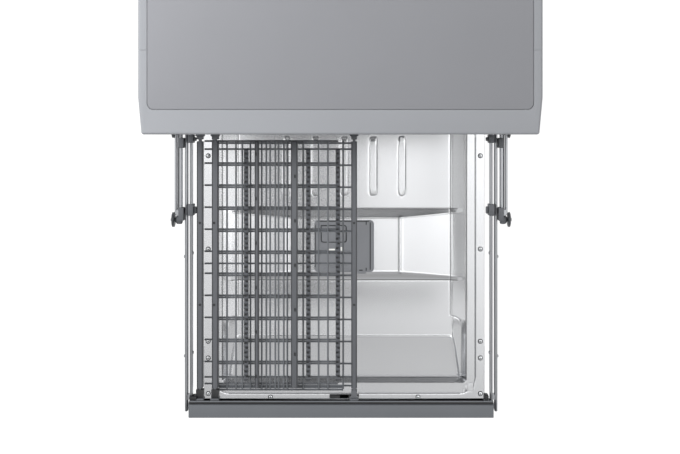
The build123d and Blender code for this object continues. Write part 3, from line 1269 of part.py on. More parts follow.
with BuildPart() as tray_fascia:
    fascia_y = (TRAY_FRONT, TRAY_FRONT + FASCIA_D)
    block((-FASCIA_HALF, FASCIA_HALF), fascia_y, tray_z(-FASCIA_DOWN, FASCIA_UP))
    fillet(tray_fascia.edges().filter_by(Axis.X).group_by(Axis.Z)[-1], FASCIA_ROUND)
    block(
        (-FASCIA_HALF + FASCIA_WALL, FASCIA_HALF - FASCIA_WALL),
        (fascia_y[0] + FASCIA_WALL, fascia_y[1] - FASCIA_WALL),
        tray_z(-FASCIA_DOWN, FASCIA_UP - FASCIA_WALL), Mode.SUBTRACT,
    )
    block((-FASCIA_HALF, FASCIA_HALF), (fascia_y[1], LIP_REAR), tray_z(LIP_UP - LIP_H, LIP_UP))
    block((-SLIDE_OUT, SLIDE_OUT), (LIP_REAR - TENON_L, LIP_REAR - LIP_D), slide_z)
    for knob in KNOBS:
        block(knob, (LIP_REAR, LIP_REAR + KNOB_L), tray_z(LIP_UP - LIP_H, LIP_UP - KNOB_DROP))
pieces["tray_fascia"] = tray_fascia

with BuildPart() as tray_crossbar:
    bar_y = (REAR_BAR_Y, REAR_BAR_Y + REAR_BAR_D)
    block((-SLIDE_IN + REAR_BAR_PLUG, SLIDE_IN - REAR_BAR_PLUG), bar_y, slide_z)
    fillet(tray_crossbar.edges().filter_by(Axis.X), REAR_BAR_PLUG)
    plug_half = SLIDE_H / 2 - REAR_BAR_PLUG
    plug_y = (bar_y[0] + REAR_BAR_PLUG, bar_y[1] - REAR_BAR_PLUG)
    block((-SLIDE_IN, SLIDE_IN), plug_y, tray_z(-plug_half, plug_half))
pieces["tray_crossbar"] = tray_crossbar

bar_z = tray_z(-BAR_H / 2, BAR_H / 2)
with BuildPart() as tray_bars:
    for low, high in bars:
        block((low, high), (BAR_FRONT, BAR_REAR), bar_z)
    for n in FOOT_BARS:
        middle = sum(bars[n]) / 2
        for start, end, hook_up in ((BAR_FRONT, LIP_REAR, LIP_UP), (BAR_REAR, REAR_BAR_Y, SLIDE_H / 2)):
            toward = 1 if end > start else -1
            neck_end, hook_y = start + toward * NECK_L, end - toward * HOOK_L
            block((middle - NECK_W / 2, middle + NECK_W / 2), (start, neck_end), bar_z)
            block(bars[n], (neck_end, hook_y), bar_z)
            block((middle - CLIP_W / 2, middle + CLIP_W / 2), (hook_y, end), tray_z(-BAR_H / 2, hook_up))
pieces["tray_bars"] = tray_bars

cross_y = [FRONT - CROSS_FIRST - n * CROSS_PITCH for n in range(CROSS_COUNT)]
front_wire_y = BAR_FRONT - FRONT_WIRE_D
wire_length = BAR_REAR - front_wire_y
cross_low = (bars[0][0] + WIRE_IN, COMBS[-1])
cross_high = (bars[1][0] + WIRE_IN, bars[-1][1] - WIRE_IN)
front_wire = (bars[1][0] + WIRE_IN, LONG_WIRES[-1])
with BuildPart() as tray_wires:
    with BuildSketch(Plane.XY.offset(TRAY_Z - BAR_H / 2 - WIRE_D)):
        with Locations(*((x, front_wire_y + wire_length / 2) for x in LONG_WIRES)):
            Rectangle(WIRE_D, wire_length)
        with Locations(*((sum(cross_low) / 2, y) for y in cross_y)):
            Rectangle(cross_low[1] - cross_low[0], WIRE_D)
        with Locations(*((sum(cross_high) / 2, y - CROSS_STEP) for y in cross_y)):
            Rectangle(cross_high[1] - cross_high[0], WIRE_D)
        with Locations((sum(front_wire) / 2, front_wire_y + FRONT_WIRE_D / 2)):
            Rectangle(front_wire[1] - front_wire[0], FRONT_WIRE_D)
    extrude(amount=WIRE_D)
pieces["tray_wires"] = tray_wires

with BuildPart() as tray_combs:
    comb_floor = TRAY_Z - BAR_H / 2
    comb_start = BAR_FRONT + COMB_IN
    teeth = int((BAR_LENGTH - 2 * COMB_IN) // TOOTH_PITCH)
    for x in COMBS:
        with BuildSketch(Plane.YZ.offset(x - COMB_W / 2)) as saw:
            with BuildLine():
                points = [(comb_start, comb_floor), (comb_start, comb_floor + COMB_H)]
                for n in range(teeth):
                    start = comb_start + n * TOOTH_PITCH
                    points += [
                        (start + (TOOTH_PITCH - TOOTH_TIP) / 2, comb_floor + COMB_H + TOOTH_H),
                        (start + (TOOTH_PITCH + TOOTH_TIP) / 2, comb_floor + COMB_H + TOOTH_H),
                        (start + TOOTH_PITCH, comb_floor + COMB_H),
                    ]
                points.append((points[-1][0], comb_floor))
                Polyline(*points, close=True)
            make_face()
        extrude(saw.sketch, amount=COMB_W)
pieces["tray_combs"] = tray_combs

# Baskets: flat wire panels that meet at their edges, five to a basket
basket_middle_y = BASKET_Y + BASKET_DEPTH / 2


def basket(floor, wall, front_wall):
    """A basket's floor and its four walls."""
    panels = [grille(Plane((0, basket_middle_y, floor)), 2 * BASKET_HALF, BASKET_DEPTH)]
    foot = floor + GRILLE_T
    for side in (-1, 1):
        middle = (side * BASKET_HALF, basket_middle_y, foot + wall / 2)
        side_plane = Plane(middle, x_dir=(0, 1, 0), z_dir=(-side, 0, 0))
        panels.append(grille(side_plane, BASKET_DEPTH, wall, WALL_ROWS))
    for y, height, turn in ((BASKET_Y, front_wall, 1), (BASKET_BACK, wall, -1)):
        middle = (0, y, foot + height / 2)
        width = 2 * (BASKET_HALF - GRILLE_T)
        panels.append(grille(Plane(middle, x_dir=(1, 0, 0), z_dir=(0, turn, 0)), width, height, WALL_ROWS))
    return panels


def tine_row(y, floor, start, count):
    """A row of upright rods on a wire."""
    length = (count - 1) * TINE_PITCH
    with BuildSketch(Plane.XZ.offset(-y)) as row:
        with Locations((start + length / 2, floor + TINE_D / 2)):
            Rectangle(length + TINE_D, TINE_D)
        with Locations((start + length / 2, floor + TINE_H / 2)):
            with GridLocations(TINE_PITCH, 1, count, 1):
                SlotOverall(TINE_H, TINE_D, rotation=90)
    extrude(row.sketch, amount=-TINE_D)


wheel_z = TUB_SILL + WHEEL_LIFT + WHEEL_D / 2
wheel_y = [BASKET_Y + station for station in WHEEL_STATIONS]
fold_floor = LOWER_Z + GRILLE_T + TINE_CLEAR
fold_axis = (TINE_Y + TINE_D / 2, fold_floor + TINE_D / 2)
fold_ends = (TINE_X - TINE_D / 2, TINE_X + (TINE_COUNT - 1) * TINE_PITCH + TINE_D / 2)
clip_reach = PIN_D / 2 + RUN_GAP + PIN_CLIP_WALL
with BuildPart() as lower_fittings:
    for y in FIXED_TINE_ROWS:
        tine_row(y, LOWER_Z + GRILLE_T, TINE_X, LONG_ROW_COUNT)
    block((-BASKET_HALF, fold_ends[1] + PIN_L), (TINE_Y, TINE_Y + TINE_D), (LOWER_Z, LOWER_Z + GRILLE_T))
    for end, toward in zip(fold_ends, (-1, 1)):
        clip_start = end + toward * PIN_CLIP_GAP
        clip_end = clip_start + toward * PIN_CLIP_W
        block(
            (clip_start, clip_end), (fold_axis[0] - clip_reach, fold_axis[0] + clip_reach),
            (LOWER_Z, fold_axis[1] + clip_reach),
        )
        rod("X", fold_axis, PIN_D + 2 * RUN_GAP, (clip_start, clip_end), Mode.SUBTRACT)
    bracket_z = (wheel_z - WHEEL_BRACKET_DOWN, LOWER_Z + WHEEL_BRACKET_UP)
    for side in (-1, 1):
        for y in wheel_y:
            bracket_y = (y - WHEEL_BRACKET_L / 2, y + WHEEL_BRACKET_L / 2)
            block((side * BASKET_HALF, side * (WHEEL_IN - WHEEL_SIDE_GAP)), bracket_y, bracket_z)
            rod("X", (y, wheel_z), WHEEL_AXLE_D, (side * BASKET_HALF, side * (WHEEL_IN + WHEEL_W)))

with BuildPart() as lower_basket:
    add([lower_fittings.part] + basket(LOWER_Z, LOWER_WALL_H, LOWER_FRONT_H), clean=False)
pieces["lower_basket"] = lower_basket

for name, y in zip(("lower_front_wheels", "lower_rear_wheels"), wheel_y):
    with BuildPart() as wheels:
        rod("X", (y, wheel_z), WHEEL_D, (WHEEL_IN, WHEEL_IN + WHEEL_W))
        fillet(wheels.edges().filter_by(GeomType.CIRCLE), WHEEL_ROUND)
        rod("X", (y, wheel_z), WHEEL_AXLE_D + 2 * RUN_GAP, (WHEEL_IN, WHEEL_IN + WHEEL_W), Mode.SUBTRACT)
        mirror(about=Plane.YZ)
    pieces[name] = wheels

with BuildPart() as folding_tines:
    tine_row(TINE_Y, fold_floor, TINE_X, TINE_COUNT)
    for end, toward in zip(fold_ends, (-1, 1)):
        rod("X", fold_axis, PIN_D, (end, end + toward * PIN_L))
pieces["folding_tines"] = folding_tines

roller_y = BASKET_Y + UPPER_ROLLER_BEHIND
roller_z = UPPER_RAIL_Z - UPPER_ROLLER_D / 2 - UPPER_ROLLER_CLEAR
roller_in = UPPER_RAIL_IN + UPPER_ROLLER_IN
rail_top = UPPER_RAIL_Z + UPPER_RAIL_H
rail_out = UPPER_RAIL_IN + UPPER_RAIL_W
shelf_axis = (SHELF_X + GRILLE_T / 2, SHELF_Z + GRILLE_T / 2)
shelf_ends = (BASKET_Y + SHELF_START, BASKET_Y + SHELF_START + SHELF_LENGTH)
upper_wall_top = UPPER_Z + GRILLE_T + UPPER_WALL_H
with BuildPart() as upper_fittings:
    for y in UPPER_TINE_ROWS:
        tine_row(y, UPPER_Z + GRILLE_T, UPPER_TINE_X, TINE_COUNT)
    for side in (-1, 1):
        block((side * BASKET_HALF, side * rail_out), (BASKET_Y, BASKET_BACK), (UPPER_RAIL_Z, rail_top))
    rod("Z", (0, ARM_Y), FEED_D, (UPPER_ARM_Z + SPRAY_T + LID_GAP, UPPER_Z))
    block((-DUCT_W / 2, DUCT_W / 2), (ARM_Y, BASKET_BACK), (UPPER_Z - FEED_PIPE_H, UPPER_Z))
    for end, toward in zip(shelf_ends, (-1, 1)):
        clip_start = end + toward * PIN_CLIP_GAP
        clip_end = clip_start + toward * PIN_CLIP_W
        block(
            (-BASKET_HALF, shelf_axis[0] + clip_reach), (clip_start, clip_end),
            (shelf_axis[1] - clip_reach, upper_wall_top),
        )
        rod("Y", shelf_axis, PIN_D + 2 * RUN_GAP, (clip_start, clip_end), Mode.SUBTRACT)

with BuildPart() as upper_basket:
    add([upper_fittings.part] + basket(UPPER_Z, UPPER_WALL_H, UPPER_WALL_H), clean=False)
pieces["upper_basket"] = upper_basket

with BuildPart() as cup_shelf:
    add(grille(Plane((SHELF_X + SHELF_W / 2, sum(shelf_ends) / 2, SHELF_Z)), SHELF_W, SHELF_LENGTH))
    for end, toward in zip(shelf_ends, (-1, 1)):
        rod("Y", shelf_axis, PIN_D, (end, end + toward * PIN_L))
pieces["cup_shelf"] = cup_shelf

guide_in = rail_out + UPPER_RAIL_GAP
guide_wall_in = TUB_HALF - GUIDE_WALL
guide_y = (roller_y - GUIDE_FRONT, roller_y + GUIDE_BACK)
guide_z = (roller_z - GUIDE_DOWN, rail_top + GUIDE_UP)
with BuildPart() as upper_rails:
    block((guide_in, TUB_HALF), guide_y, guide_z)
    block(
        (guide_in, guide_wall_in), guide_y, (guide_z[0] + GUIDE_FLANGE_T, guide_z[1] - GUIDE_FLANGE_T),
        Mode.SUBTRACT,
    )
    rod("X", (roller_y, roller_z), AXLE_D, (roller_in, guide_wall_in))
    mirror(about=Plane.YZ)
pieces["upper_rails"] = upper_rails

with BuildPart() as upper_rollers:
    rod("X", (roller_y, roller_z), UPPER_ROLLER_D, (roller_in, rail_out))
    rod("X", (roller_y, roller_z), AXLE_D + 2 * RUN_GAP, (roller_in, rail_out), Mode.SUBTRACT)
    mirror(about=Plane.YZ)
pieces["upper_rollers"] = upper_rollers

os.makedirs("parts", exist_ok=True)
for name, piece in pieces.items():
    piece.part.label = name
    export_step(piece.part, f"parts/{name}.step")
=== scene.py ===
"""Open dishwasher seen from above: looks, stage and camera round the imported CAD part."""

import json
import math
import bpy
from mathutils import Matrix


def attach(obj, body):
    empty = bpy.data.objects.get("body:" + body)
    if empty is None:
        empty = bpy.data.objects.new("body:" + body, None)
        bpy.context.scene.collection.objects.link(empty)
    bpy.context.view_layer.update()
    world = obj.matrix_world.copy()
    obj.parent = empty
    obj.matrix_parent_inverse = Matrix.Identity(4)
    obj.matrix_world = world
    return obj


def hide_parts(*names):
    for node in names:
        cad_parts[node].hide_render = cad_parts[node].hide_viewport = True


bl_info = {
    "name": "Open dishwasher",
    "version": (1, 0, 0),
    "blender": (4, 5, 0),
    "location": "View3D > Sidebar > Dishwasher",
    "description": "Builds a dishwasher with its door open and its cutlery tray pulled out",
    "category": "Object",
}

import bmesh
import bpy
from bpy.props import FloatProperty, FloatVectorProperty, IntProperty, PointerProperty
from mathutils import Vector

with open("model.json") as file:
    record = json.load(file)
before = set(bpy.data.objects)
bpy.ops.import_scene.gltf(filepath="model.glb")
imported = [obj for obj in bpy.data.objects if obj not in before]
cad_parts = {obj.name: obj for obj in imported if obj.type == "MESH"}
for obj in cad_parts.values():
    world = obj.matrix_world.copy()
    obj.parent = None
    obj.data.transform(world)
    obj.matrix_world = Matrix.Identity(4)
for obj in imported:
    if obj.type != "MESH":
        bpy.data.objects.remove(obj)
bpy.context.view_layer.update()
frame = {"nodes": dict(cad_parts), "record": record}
MM = 0.001
SHARP = 30  # degrees from which an edge counts as sharp
BOX_FACES = ((0, 2, 3, 1), (4, 5, 7, 6), (0, 1, 5, 4), (2, 6, 7, 3), (0, 4, 6, 2), (1, 3, 7, 5))

# Door, in millimetres: u runs along it from its pivot, heights count from the pivot
PIVOT = (42.5, 187)  # Y and Z
DOOR_END, DOOR_TAIL = 623, 67
LINER_HALF, LINER_SHEET = 294, 1.2
FLANGE_UP, LAND_UP, FLOOR_UP = 8, 14, 2
RIM = (275, 37, 609, 34)  # half width, start, end and corner
RIM_START = RIM[1]
RIBS = (-121, -60.5, 0, 60.5, 121)
RIB = (7.5, 69, 194, 7.5)  # half width, start, end and corner
BAND_START, BAND_END, BAND_UP, BAND_SLOPE = 221.7, 371.4, 10, 18
BAND_LEAN = 2.4  # rise of the raised band towards the door's far end
BAND_EVEN = 115  # half width over which the band keeps its height
WALL_FOOT, WALL_TOP = 226, 255
FLOOR_EDGE = 232  # half width of the floor where the band's edges end
POCKET_START = 446
FIELD_START, FIELD_LENGTH = 490.5, 88.2  # sloping field at the far end
END_WALL, END_WALL_LENGTH = 578.5, 6.5
CUP_HALF, CUP_START, CUP_END = 56.4, 251, 347.6  # hole for the dispenser
LATCH_HALF, LATCH_START, LATCH_END = 31, 611, 622  # hole for the latch
NOTCH_FROM, NOTCH_END = 273.5, 28  # room for the hinge arms
FINE_STEP, COARSE_STEP = 0.95, 9  # grid steps where the sheet bends, and elsewhere
SIDE_SCREWS = (286, (110, 306, 500, 535, 610))
END_SCREW = (155, 617)
DISPENSER_TOP = 200
MARK_TOP = 200.75  # lies low enough for the lid to pass over it

# Cutlery tray
RAIL_Z = 745  # middle of the rails
BAR_BOTTOM, BAR_TOP = 739, 751
BARS = ((-222.5, 9.8), (-198.5, 10.4), (-133, 6.6), (-73.8, 10.5), (20.4, 9.2))  # X and width
COMBS = (-150.2, -51.9, -5.3)
LONG_WIRES = (-181.1, -166.9, -156.8, -144, -126, -118.7, -112.7, -104.5, -99.4, -91.1, -85.5,
              -60.3, -35.8, -21.1, 3.1)
TRAY_BACK, TRAY_FRONT_WIRE = -29, -421.8
NET_LEFT, NET_RIGHT = -217, 22
NET_STEP = 35
STRIP_BACK = -436
RAIL_STOPS = (-369.9, -212.9)
TRAY_ROLLERS = {"tray_front_rollers": -152.6, "tray_middle_rollers": -12}

# Baskets
BASKET_HALF, BASKET_FRONT, BASKET_REAR = 242, 84, 510
BASKET_COLUMNS, BASKET_LANES = 20, 18
LOWER_FLOOR, UPPER_FLOOR = 234, 500
TINE_STEP, TINE_HEIGHT = 26, 70
FOLD_Y, FOLD_Z, FOLD_START = 201.75, 244.35, -225
SHELF_X, SHELF_Z = -236.2, 599.8
FOLDING_WIRE = 3
LOWER_WHEELS = {"lower_front_wheels": 150, "lower_rear_wheels": 440}
WHEEL_Z = 220.6

# Stage
FLOOR_GLOW = 0.82
RAMP_TOP = 4.0  # strongest light that a ramp holds
# (part of the direction, strength): front to back, then left to right
BACK_RAMP = ((-1.0, 0.45), (-0.85, 0.68), (-0.65, 0.62), (-0.43, 0.92), (-0.33, 0.3), (-0.26, 0.22),
             (-0.18, 1.45), (-0.12, 1.0), (-0.06, 0.8), (-0.01, 1.8), (0.04, 2.7), (0.3, 1.1),
             (0.6, 0.7), (1.0, 0.5))
SIDE_RAMP = ((-1.0, 0.35), (-0.7, 1.1), (-0.3, 0.9), (-0.05, 0.84), (0.05, 1.0), (0.13, 1.05),
             (0.2, 0.9), (0.32, 1.5), (0.5, 1.5), (0.62, 0.9), (0.8, 0.9), (1.0, 0.5))
FLOOR_HALF = 9000
CAMERA_AT = (0.0195, -0.0049, 2.4076)
CAMERA_SHIFT = (-0.0199, -0.1485)
SENSOR, FOCAL_PIXELS, PICTURE_WIDTH = 36.0, 1052.6, 680


# Colour and nodes


def linear(code):
    """An sRGB hex colour as linear RGBA."""
    parts = [int(code[i:i + 2], 16) / 255 for i in (0, 2, 4)]
    return tuple(c / 12.92 if c <= 0.04045 else ((c + 0.055) / 1.055) ** 2.4
                 for c in parts) + (1.0,)


def feed(tree, node, inputs):
    """Links each input of a node to a socket, or gives it a value."""
    for socket, source in inputs.items():
        if isinstance(source, bpy.types.NodeSocket):
            tree.links.new(source, node.inputs[socket])
        else:
            node.inputs[socket].default_value = source


def add_node(tree, kind, inputs=None, **settings):
    """A node with its settings and its inputs."""
    node = tree.nodes.new(kind)
    for key, value in settings.items():
        setattr(node, key, value)
    feed(tree, node, inputs or {})
    return node


def maths(tree, operation, *terms):
    """The result of a maths node on sockets and numbers."""
    return add_node(tree, "ShaderNodeMath", dict(enumerate(terms)), operation=operation).outputs[0]


def new_material(name):
    """A material, its tree and its shader."""
    material = bpy.data.materials.new(name)
    material.use_nodes = True
    return material, material.node_tree, material.node_tree.nodes["Principled BSDF"]


def surface(name, colour, roughness, grain, grain_depth, mottle, metallic=0.0, rough_spread=0.06,
            stretch=(1, 1, 1), coat=0.0):
    """A material with fine grain in millimetres, and with small shifts of tone and gloss."""
    material, tree, shader = new_material(name)
    place = add_node(tree, "ShaderNodeTexCoord")
    turn = add_node(tree, "ShaderNodeMapping",
                    {"Vector": place.outputs["Object"], "Scale": stretch})
    fine = add_node(tree, "ShaderNodeTexNoise",
                    {"Vector": turn.outputs["Vector"], "Scale": 1000 / grain, "Detail": 3.0})
    broad = add_node(tree, "ShaderNodeTexNoise",
                     {"Vector": place.outputs["Object"], "Scale": 9.0, "Detail": 4.0})
    tone = add_node(tree, "ShaderNodeValToRGB", {"Fac": broad.outputs["Fac"]})
    base = linear(colour)
    for stop, position, change in zip(tone.color_ramp.elements, (0.3, 0.7), (-mottle, mottle)):
        stop.position = position
        stop.color = tuple(min(1.0, c * (1 + change)) for c in base[:3]) + (1.0,)
    gloss = add_node(tree, "ShaderNodeMapRange",
                     {"Value": fine.outputs["Fac"], "To Min": roughness - rough_spread,
                      "To Max": roughness + rough_spread})
    bump = add_node(tree, "ShaderNodeBump",
                    {"Height": fine.outputs["Fac"], "Strength": 0.6, "Distance": grain_depth * MM})
    feed(tree, shader, {"Metallic": metallic, "Coat Weight": coat,
                        "Base Color": tone.outputs["Color"], "Roughness": gloss.outputs["Result"],
                        "Normal": bump.outputs["Normal"]})
    return material


def with_painted_crease_shade(material, darkening=0.85):
    """Paints shade into a finish: darkens its colour where the mesh's painted shade attribute is
    high.
    """
    tree = material.node_tree
    shader = tree.nodes["Principled BSDF"]
    base = shader.inputs["Base Color"].links[0].from_socket
    crease = add_node(tree, "ShaderNodeAttribute", attribute_name="crease")
    light = maths(tree, "MULTIPLY_ADD", crease.outputs["Fac"], -darkening, 1.0)
    grey = add_node(tree, "ShaderNodeCombineXYZ", {axis: light for axis in "XYZ"})
    mixed = add_node(tree, "ShaderNodeMix", {"Factor": 1.0, "A": base, "B": grey.outputs["Vector"]},
                     data_type="RGBA", blend_type="MULTIPLY")
    tree.links.new(mixed.outputs["Result"], shader.inputs["Base Color"])
    return material


def rolled_sheet(name):
    """Bright cold-rolled stainless: satin, with faint rolling lines across the door."""
    return surface(name, "D8D9DB", 0.24, 3.0, 0.0002, 0.01, 1.0, 0.01, (0.05, 1, 1))


def make_materials():
    """Every finish of the machine, by the name of its slot in the record."""
    return {
        # high-pressure laminate, pressed on a fine matt plate: no gloss, a faint pebble
        "worktop_laminate": surface("pressed_laminate", "797A7E", 0.5, 1.2, 0.03, 0.015),
        # injection-moulded ABS with a fine spark-eroded grain
        "trim_plastic": surface("moulded_abs", "85878B", 0.55, 1.0, 0.02, 0.015),
        # stoved enamel on steel: slight orange peel under a hard gloss
        "enamel": surface("stoved_enamel", "DCDDDE", 0.28, 2.5, 0.0015, 0.01, coat=0.2),
        # the sheet of the tub, as rolled: a soft, slightly drawn-out shine
        "stainless": rolled_sheet("rolled_stainless"),
        # the same sheet as pressed into the liner, with painted shade: thin dark lines painted
        # along its creases, where shade falls
        "pressed_stainless": with_painted_crease_shade(rolled_sheet("pressed_stainless")),
        # steel rails, drawn and greased: darker than sheet
        "rail_steel": surface("drawn_rail_steel", "A4A6A9", 0.32, 2.0, 0.0003, 0.02, 1.0, 0.03,
                              (1, 0.05, 1)),
        # hot-dip zinc on folded steel: dull with cloudy spangle
        "galvanised": surface("zinc_coated_steel", "A9ACAE", 0.45, 9.0, 0.02, 0.12, 1.0, 0.12),
        # black polypropylene of the base, coarse moulded grain
        "base_plastic": surface("black_polypropylene", "1E1F21", 0.6, 2.0, 0.06, 0.08),
        # dark grey polypropylene of the tray's strip and the arms, satin
        "grey_plastic": surface("grey_polypropylene", "5A5D61", 0.42, 1.4, 0.03, 0.04),
        # mid grey acetal of clips and bars
        "mid_grey_plastic": surface("grey_acetal", "4F5155", 0.45, 1.4, 0.03, 0.05),
        # mid grey polypropylene of the dispenser, satin
        "dispenser_grey": surface("dispenser_polypropylene", "717377", 0.4, 1.4, 0.03, 0.03),
        # black glass-filled nylon of rollers and knobs
        "black_plastic": surface("black_nylon", "17181A", 0.45, 1.0, 0.03, 0.06),
        # dark acetal tyres of the rails' rollers, worn to a sheen
        "roller_acetal": surface("dark_acetal", "3B3D40", 0.3, 1.0, 0.02, 0.06),
        # natural white polypropylene of the tanks
        "white_plastic": surface("white_polypropylene", "E3E3DF", 0.5, 2.0, 0.05, 0.03),
        # smoked acrylic in front of the display
        "display": surface("smoked_acrylic", "0C0E11", 0.08, 6.0, 0.002, 0.0, 0.0, 0.02, coat=0.5),
        # EPDM rubber of the seal, extruded and dusted with talc
        "rubber": surface("epdm_rubber", "26272A", 0.72, 1.6, 0.05, 0.1),
        # hard rubber under the feet
        "pad_rubber": surface("hard_rubber", "303134", 0.7, 1.6, 0.05, 0.08),
        # steel wire dipped in grey nylon: smooth, waxy skin
        "coated_wire": surface("nylon_coated_wire", "55585C", 0.35, 2.0, 0.03, 0.05),
        # zinc-plated screws, bright
        "screw_steel": surface("zinc_plated_screw", "D8DADC", 0.25, 0.8, 0.01, 0.05, 1.0),
        # sand-cast iron, painted dark
        "cast_metal": surface("painted_cast_iron", "3C3D40", 0.65, 3.0, 0.2, 0.1),
        # turned brass of the inlet thread
        "brass_thread": surface("turned_brass", "C9A564", 0.3, 0.8, 0.02, 0.05, 1.0),
    }


# Mesh helpers, all in millimetres


def placed(name, mesh):
    """A mesh as an object in the scene."""
    piece = bpy.data.objects.new(name, mesh)
    bpy.context.collection.objects.link(piece)
    return piece


def raw_mesh(name, points, edges=(), faces=()):
    """A mesh from points in millimetres, as they are."""
    mesh = bpy.data.meshes.new(name)
    mesh.from_pydata([tuple(c * MM for c in p) for p in points], edges, faces)
    return mesh


def mesh_object(name, points, faces, smooth=30):
    """A closed piece from points in millimetres, shaded smooth up to an angle in degrees."""
    mesh = raw_mesh(name, points, faces=faces)
    mesh.update()
    finish_mesh(mesh, smooth)
    return placed(name, mesh)


def shade(mesh, smooth):
    """Shades a mesh smooth, but for corners sharper than an angle in degrees."""
    mesh.shade_smooth()
    mesh.set_sharp_from_angle(angle=math.radians(smooth))


def finish_mesh(mesh, smooth):
    """Merges double points, turns faces outwards and shades them."""
    work = bmesh.new()
    work.from_mesh(mesh)
    bmesh.ops.remove_doubles(work, verts=work.verts, dist=1e-6)
    bmesh.ops.recalc_face_normals(work, faces=work.faces)
    work.to_mesh(mesh)
    work.free()
    shade(mesh, smooth)


def bake(piece, smooth=None):
    """Turns a piece with live modifiers into a plain mesh."""
    depsgraph = bpy.context.evaluated_depsgraph_get()
    mesh = bpy.data.meshes.new_from_object(piece.evaluated_get(depsgraph),
                                           preserve_all_data_layers=True, depsgraph=depsgraph)
    old = piece.data
    piece.modifiers.clear()
    piece.data = mesh
    bpy.data.meshes.remove(old)
    mesh.name = piece.name
    if smooth is not None:
        finish_mesh(mesh, smooth)
    return piece


def bevelled(piece, width, segments=2, limit="ANGLE"):
    """Rounds the sharp edges of a piece. The width is in millimetres."""
    bevel = piece.modifiers.new("Bevel", "BEVEL")
    bevel.width = width * MM
    bevel.segments = segments
    bevel.limit_method = limit
    bevel.angle_limit = math.radians(SHARP)
    return bake(piece, 35)


def dress(piece, body, slot, replaced=(), finish=None):
    """Gives a piece its body and its finish (by default its slot's finish), and hides the nodes
    that it stands for.
    """
    piece.data.materials.clear()
    piece.data.materials.append(FINISH[finish or slot])
    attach(piece, body)
    if replaced:
        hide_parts(*replaced)
    return piece


def on_worktop_edge(point):
    """Whether a point is on the outer edge of the worktop."""
    x, y = abs(point.x) / MM, point.y / MM
    return x > 299.0 or y < -17.0 or y > 582.0 or (x > 293.0 and y < 40.0)


def softened(node, body, width, finish=None, segments=2, outer=None, outer_width=0.0):
    """The solid's own shape with rounded edges, more so on outer edges, in its place."""
    mesh = frame["nodes"][node].data.copy()
    work = bmesh.new()
    work.from_mesh(mesh)
    bmesh.ops.remove_doubles(work, verts=work.verts, dist=2e-6)
    bmesh.ops.dissolve_limit(work, angle_limit=math.radians(0.5), verts=work.verts,
                             edges=work.edges)
    if outer:
        weight = work.edges.layers.float.new("bevel_weight_edge")
        for edge in work.edges:
            if edge.calc_face_angle(0.0) > math.radians(SHARP):
                middle = (edge.verts[0].co + edge.verts[1].co) / 2
                edge[weight] = 1.0 if outer(middle) else width / outer_width
    work.to_mesh(mesh)
    work.free()
    piece = placed(node + "_rounded", mesh)
    if outer:
        bevelled(piece, outer_width, segments, "WEIGHT")
    else:
        bevelled(piece, width, segments)
    return dress(piece, body, SLOTS[node], (node,), finish)


def boxes_mesh(name, boxes):
    """Closed boxes in one mesh, each ((x0, x1), (y0, y1), (z0, z1))."""
    points, faces = [], []
    for spans in boxes:
        (x0, x1), (y0, y1), (z0, z1) = (sorted(span) for span in spans)
        n = len(points)
        points += [(x, y, z) for z in (z0, z1) for y in (y0, y1) for x in (x0, x1)]
        faces += [tuple(n + i for i in face) for face in BOX_FACES]
    return mesh_object(name, points, faces)


def moulded(name, boxes, width, body, slot, finish=None, segments=2):
    """Boxes with rounded edges, as one dressed piece."""
    return dress(bevelled(boxes_mesh(name, boxes), width, segments), body, slot, (), finish)


def bar_along(name, outline, ends, side):
    """A closed outline of (X, Z) pairs swept along Y, mirrored on side -1."""
    points = [(side * x, end, z) for end in ends for x, z in outline]
    n = len(outline)
    faces = [tuple(range(n)), tuple(range(2 * n - 1, n - 1, -1))]
    faces += [(i, (i + 1) % n, n + (i + 1) % n, n + i) for i in range(n)]
    return mesh_object(name, points, faces)


def lathe(name, profile, centre, axis="Z", steps=40, side=1):
    """A closed profile of (radius, height) pairs turned round an axis, mirrored on side -1."""
    points, faces = [], []
    n = len(profile)
    for s in range(steps):
        turn = 2 * math.pi * s / steps
        for radius, height in profile:
            a, b = radius * math.cos(turn), radius * math.sin(turn)
            offset = (a, b, height) if axis == "Z" else (side * height, a, b)
            points.append(tuple(c + o for c, o in zip(centre, offset)))
    for s in range(steps):
        t = (s + 1) % steps
        for i in range(n):
            j = (i + 1) % n
            faces.append((s * n + i, s * n + j, t * n + j, t * n + i))
    return mesh_object(name, points, faces, 35)


def wheel_pair(node, profile, place, slot, finish=None, steps=32):
    """Turned wheels on both sides in place of a node's plain ones."""
    x, y, z = place
    pair = [lathe("wheel", profile, (side * x, y, z), "X", steps, side) for side in (-1, 1)]
    dress(join(node + "_turned", pair), node, slot, (node,), finish)


def join(name, pieces):
    """Several objects as one."""
    points, faces = [], []
    for piece in pieces:
        n = len(points)
        points += [tuple(c / MM for c in v.co) for v in piece.data.vertices]
        faces += [tuple(n + i for i in p.vertices) for p in piece.data.polygons]
        bpy.data.objects.remove(piece)
    mesh = raw_mesh(name, points, faces=faces)
    shade(mesh, 35)
    return placed(name, mesh)


# Geometry Nodes: round wire along lines, and a shape set down on points


def node_group(name, sockets):
    """An empty Geometry Nodes tree with named inputs."""
    tree = bpy.data.node_groups.new(name, "GeometryNodeTree")
    tree.interface.new_socket("Geometry", in_out="INPUT", socket_type="NodeSocketGeometry")
    for label, kind in sockets.items():
        tree.interface.new_socket(label, in_out="INPUT", socket_type=kind)
    tree.interface.new_socket("Geometry", in_out="OUTPUT", socket_type="NodeSocketGeometry")
    return tree


def finish_tree(tree, start, geometry):
    """Ends a tree: instances made real, and the finish set."""
    whole = add_node(tree, "GeometryNodeRealizeInstances", {"Geometry": geometry})
    painted = add_node(tree, "GeometryNodeSetMaterial",
                       {"Geometry": whole.outputs["Geometry"], "Material": start.outputs["Finish"]})
    add_node(tree, "NodeGroupOutput", {"Geometry": painted.outputs["Geometry"]})
    return tree


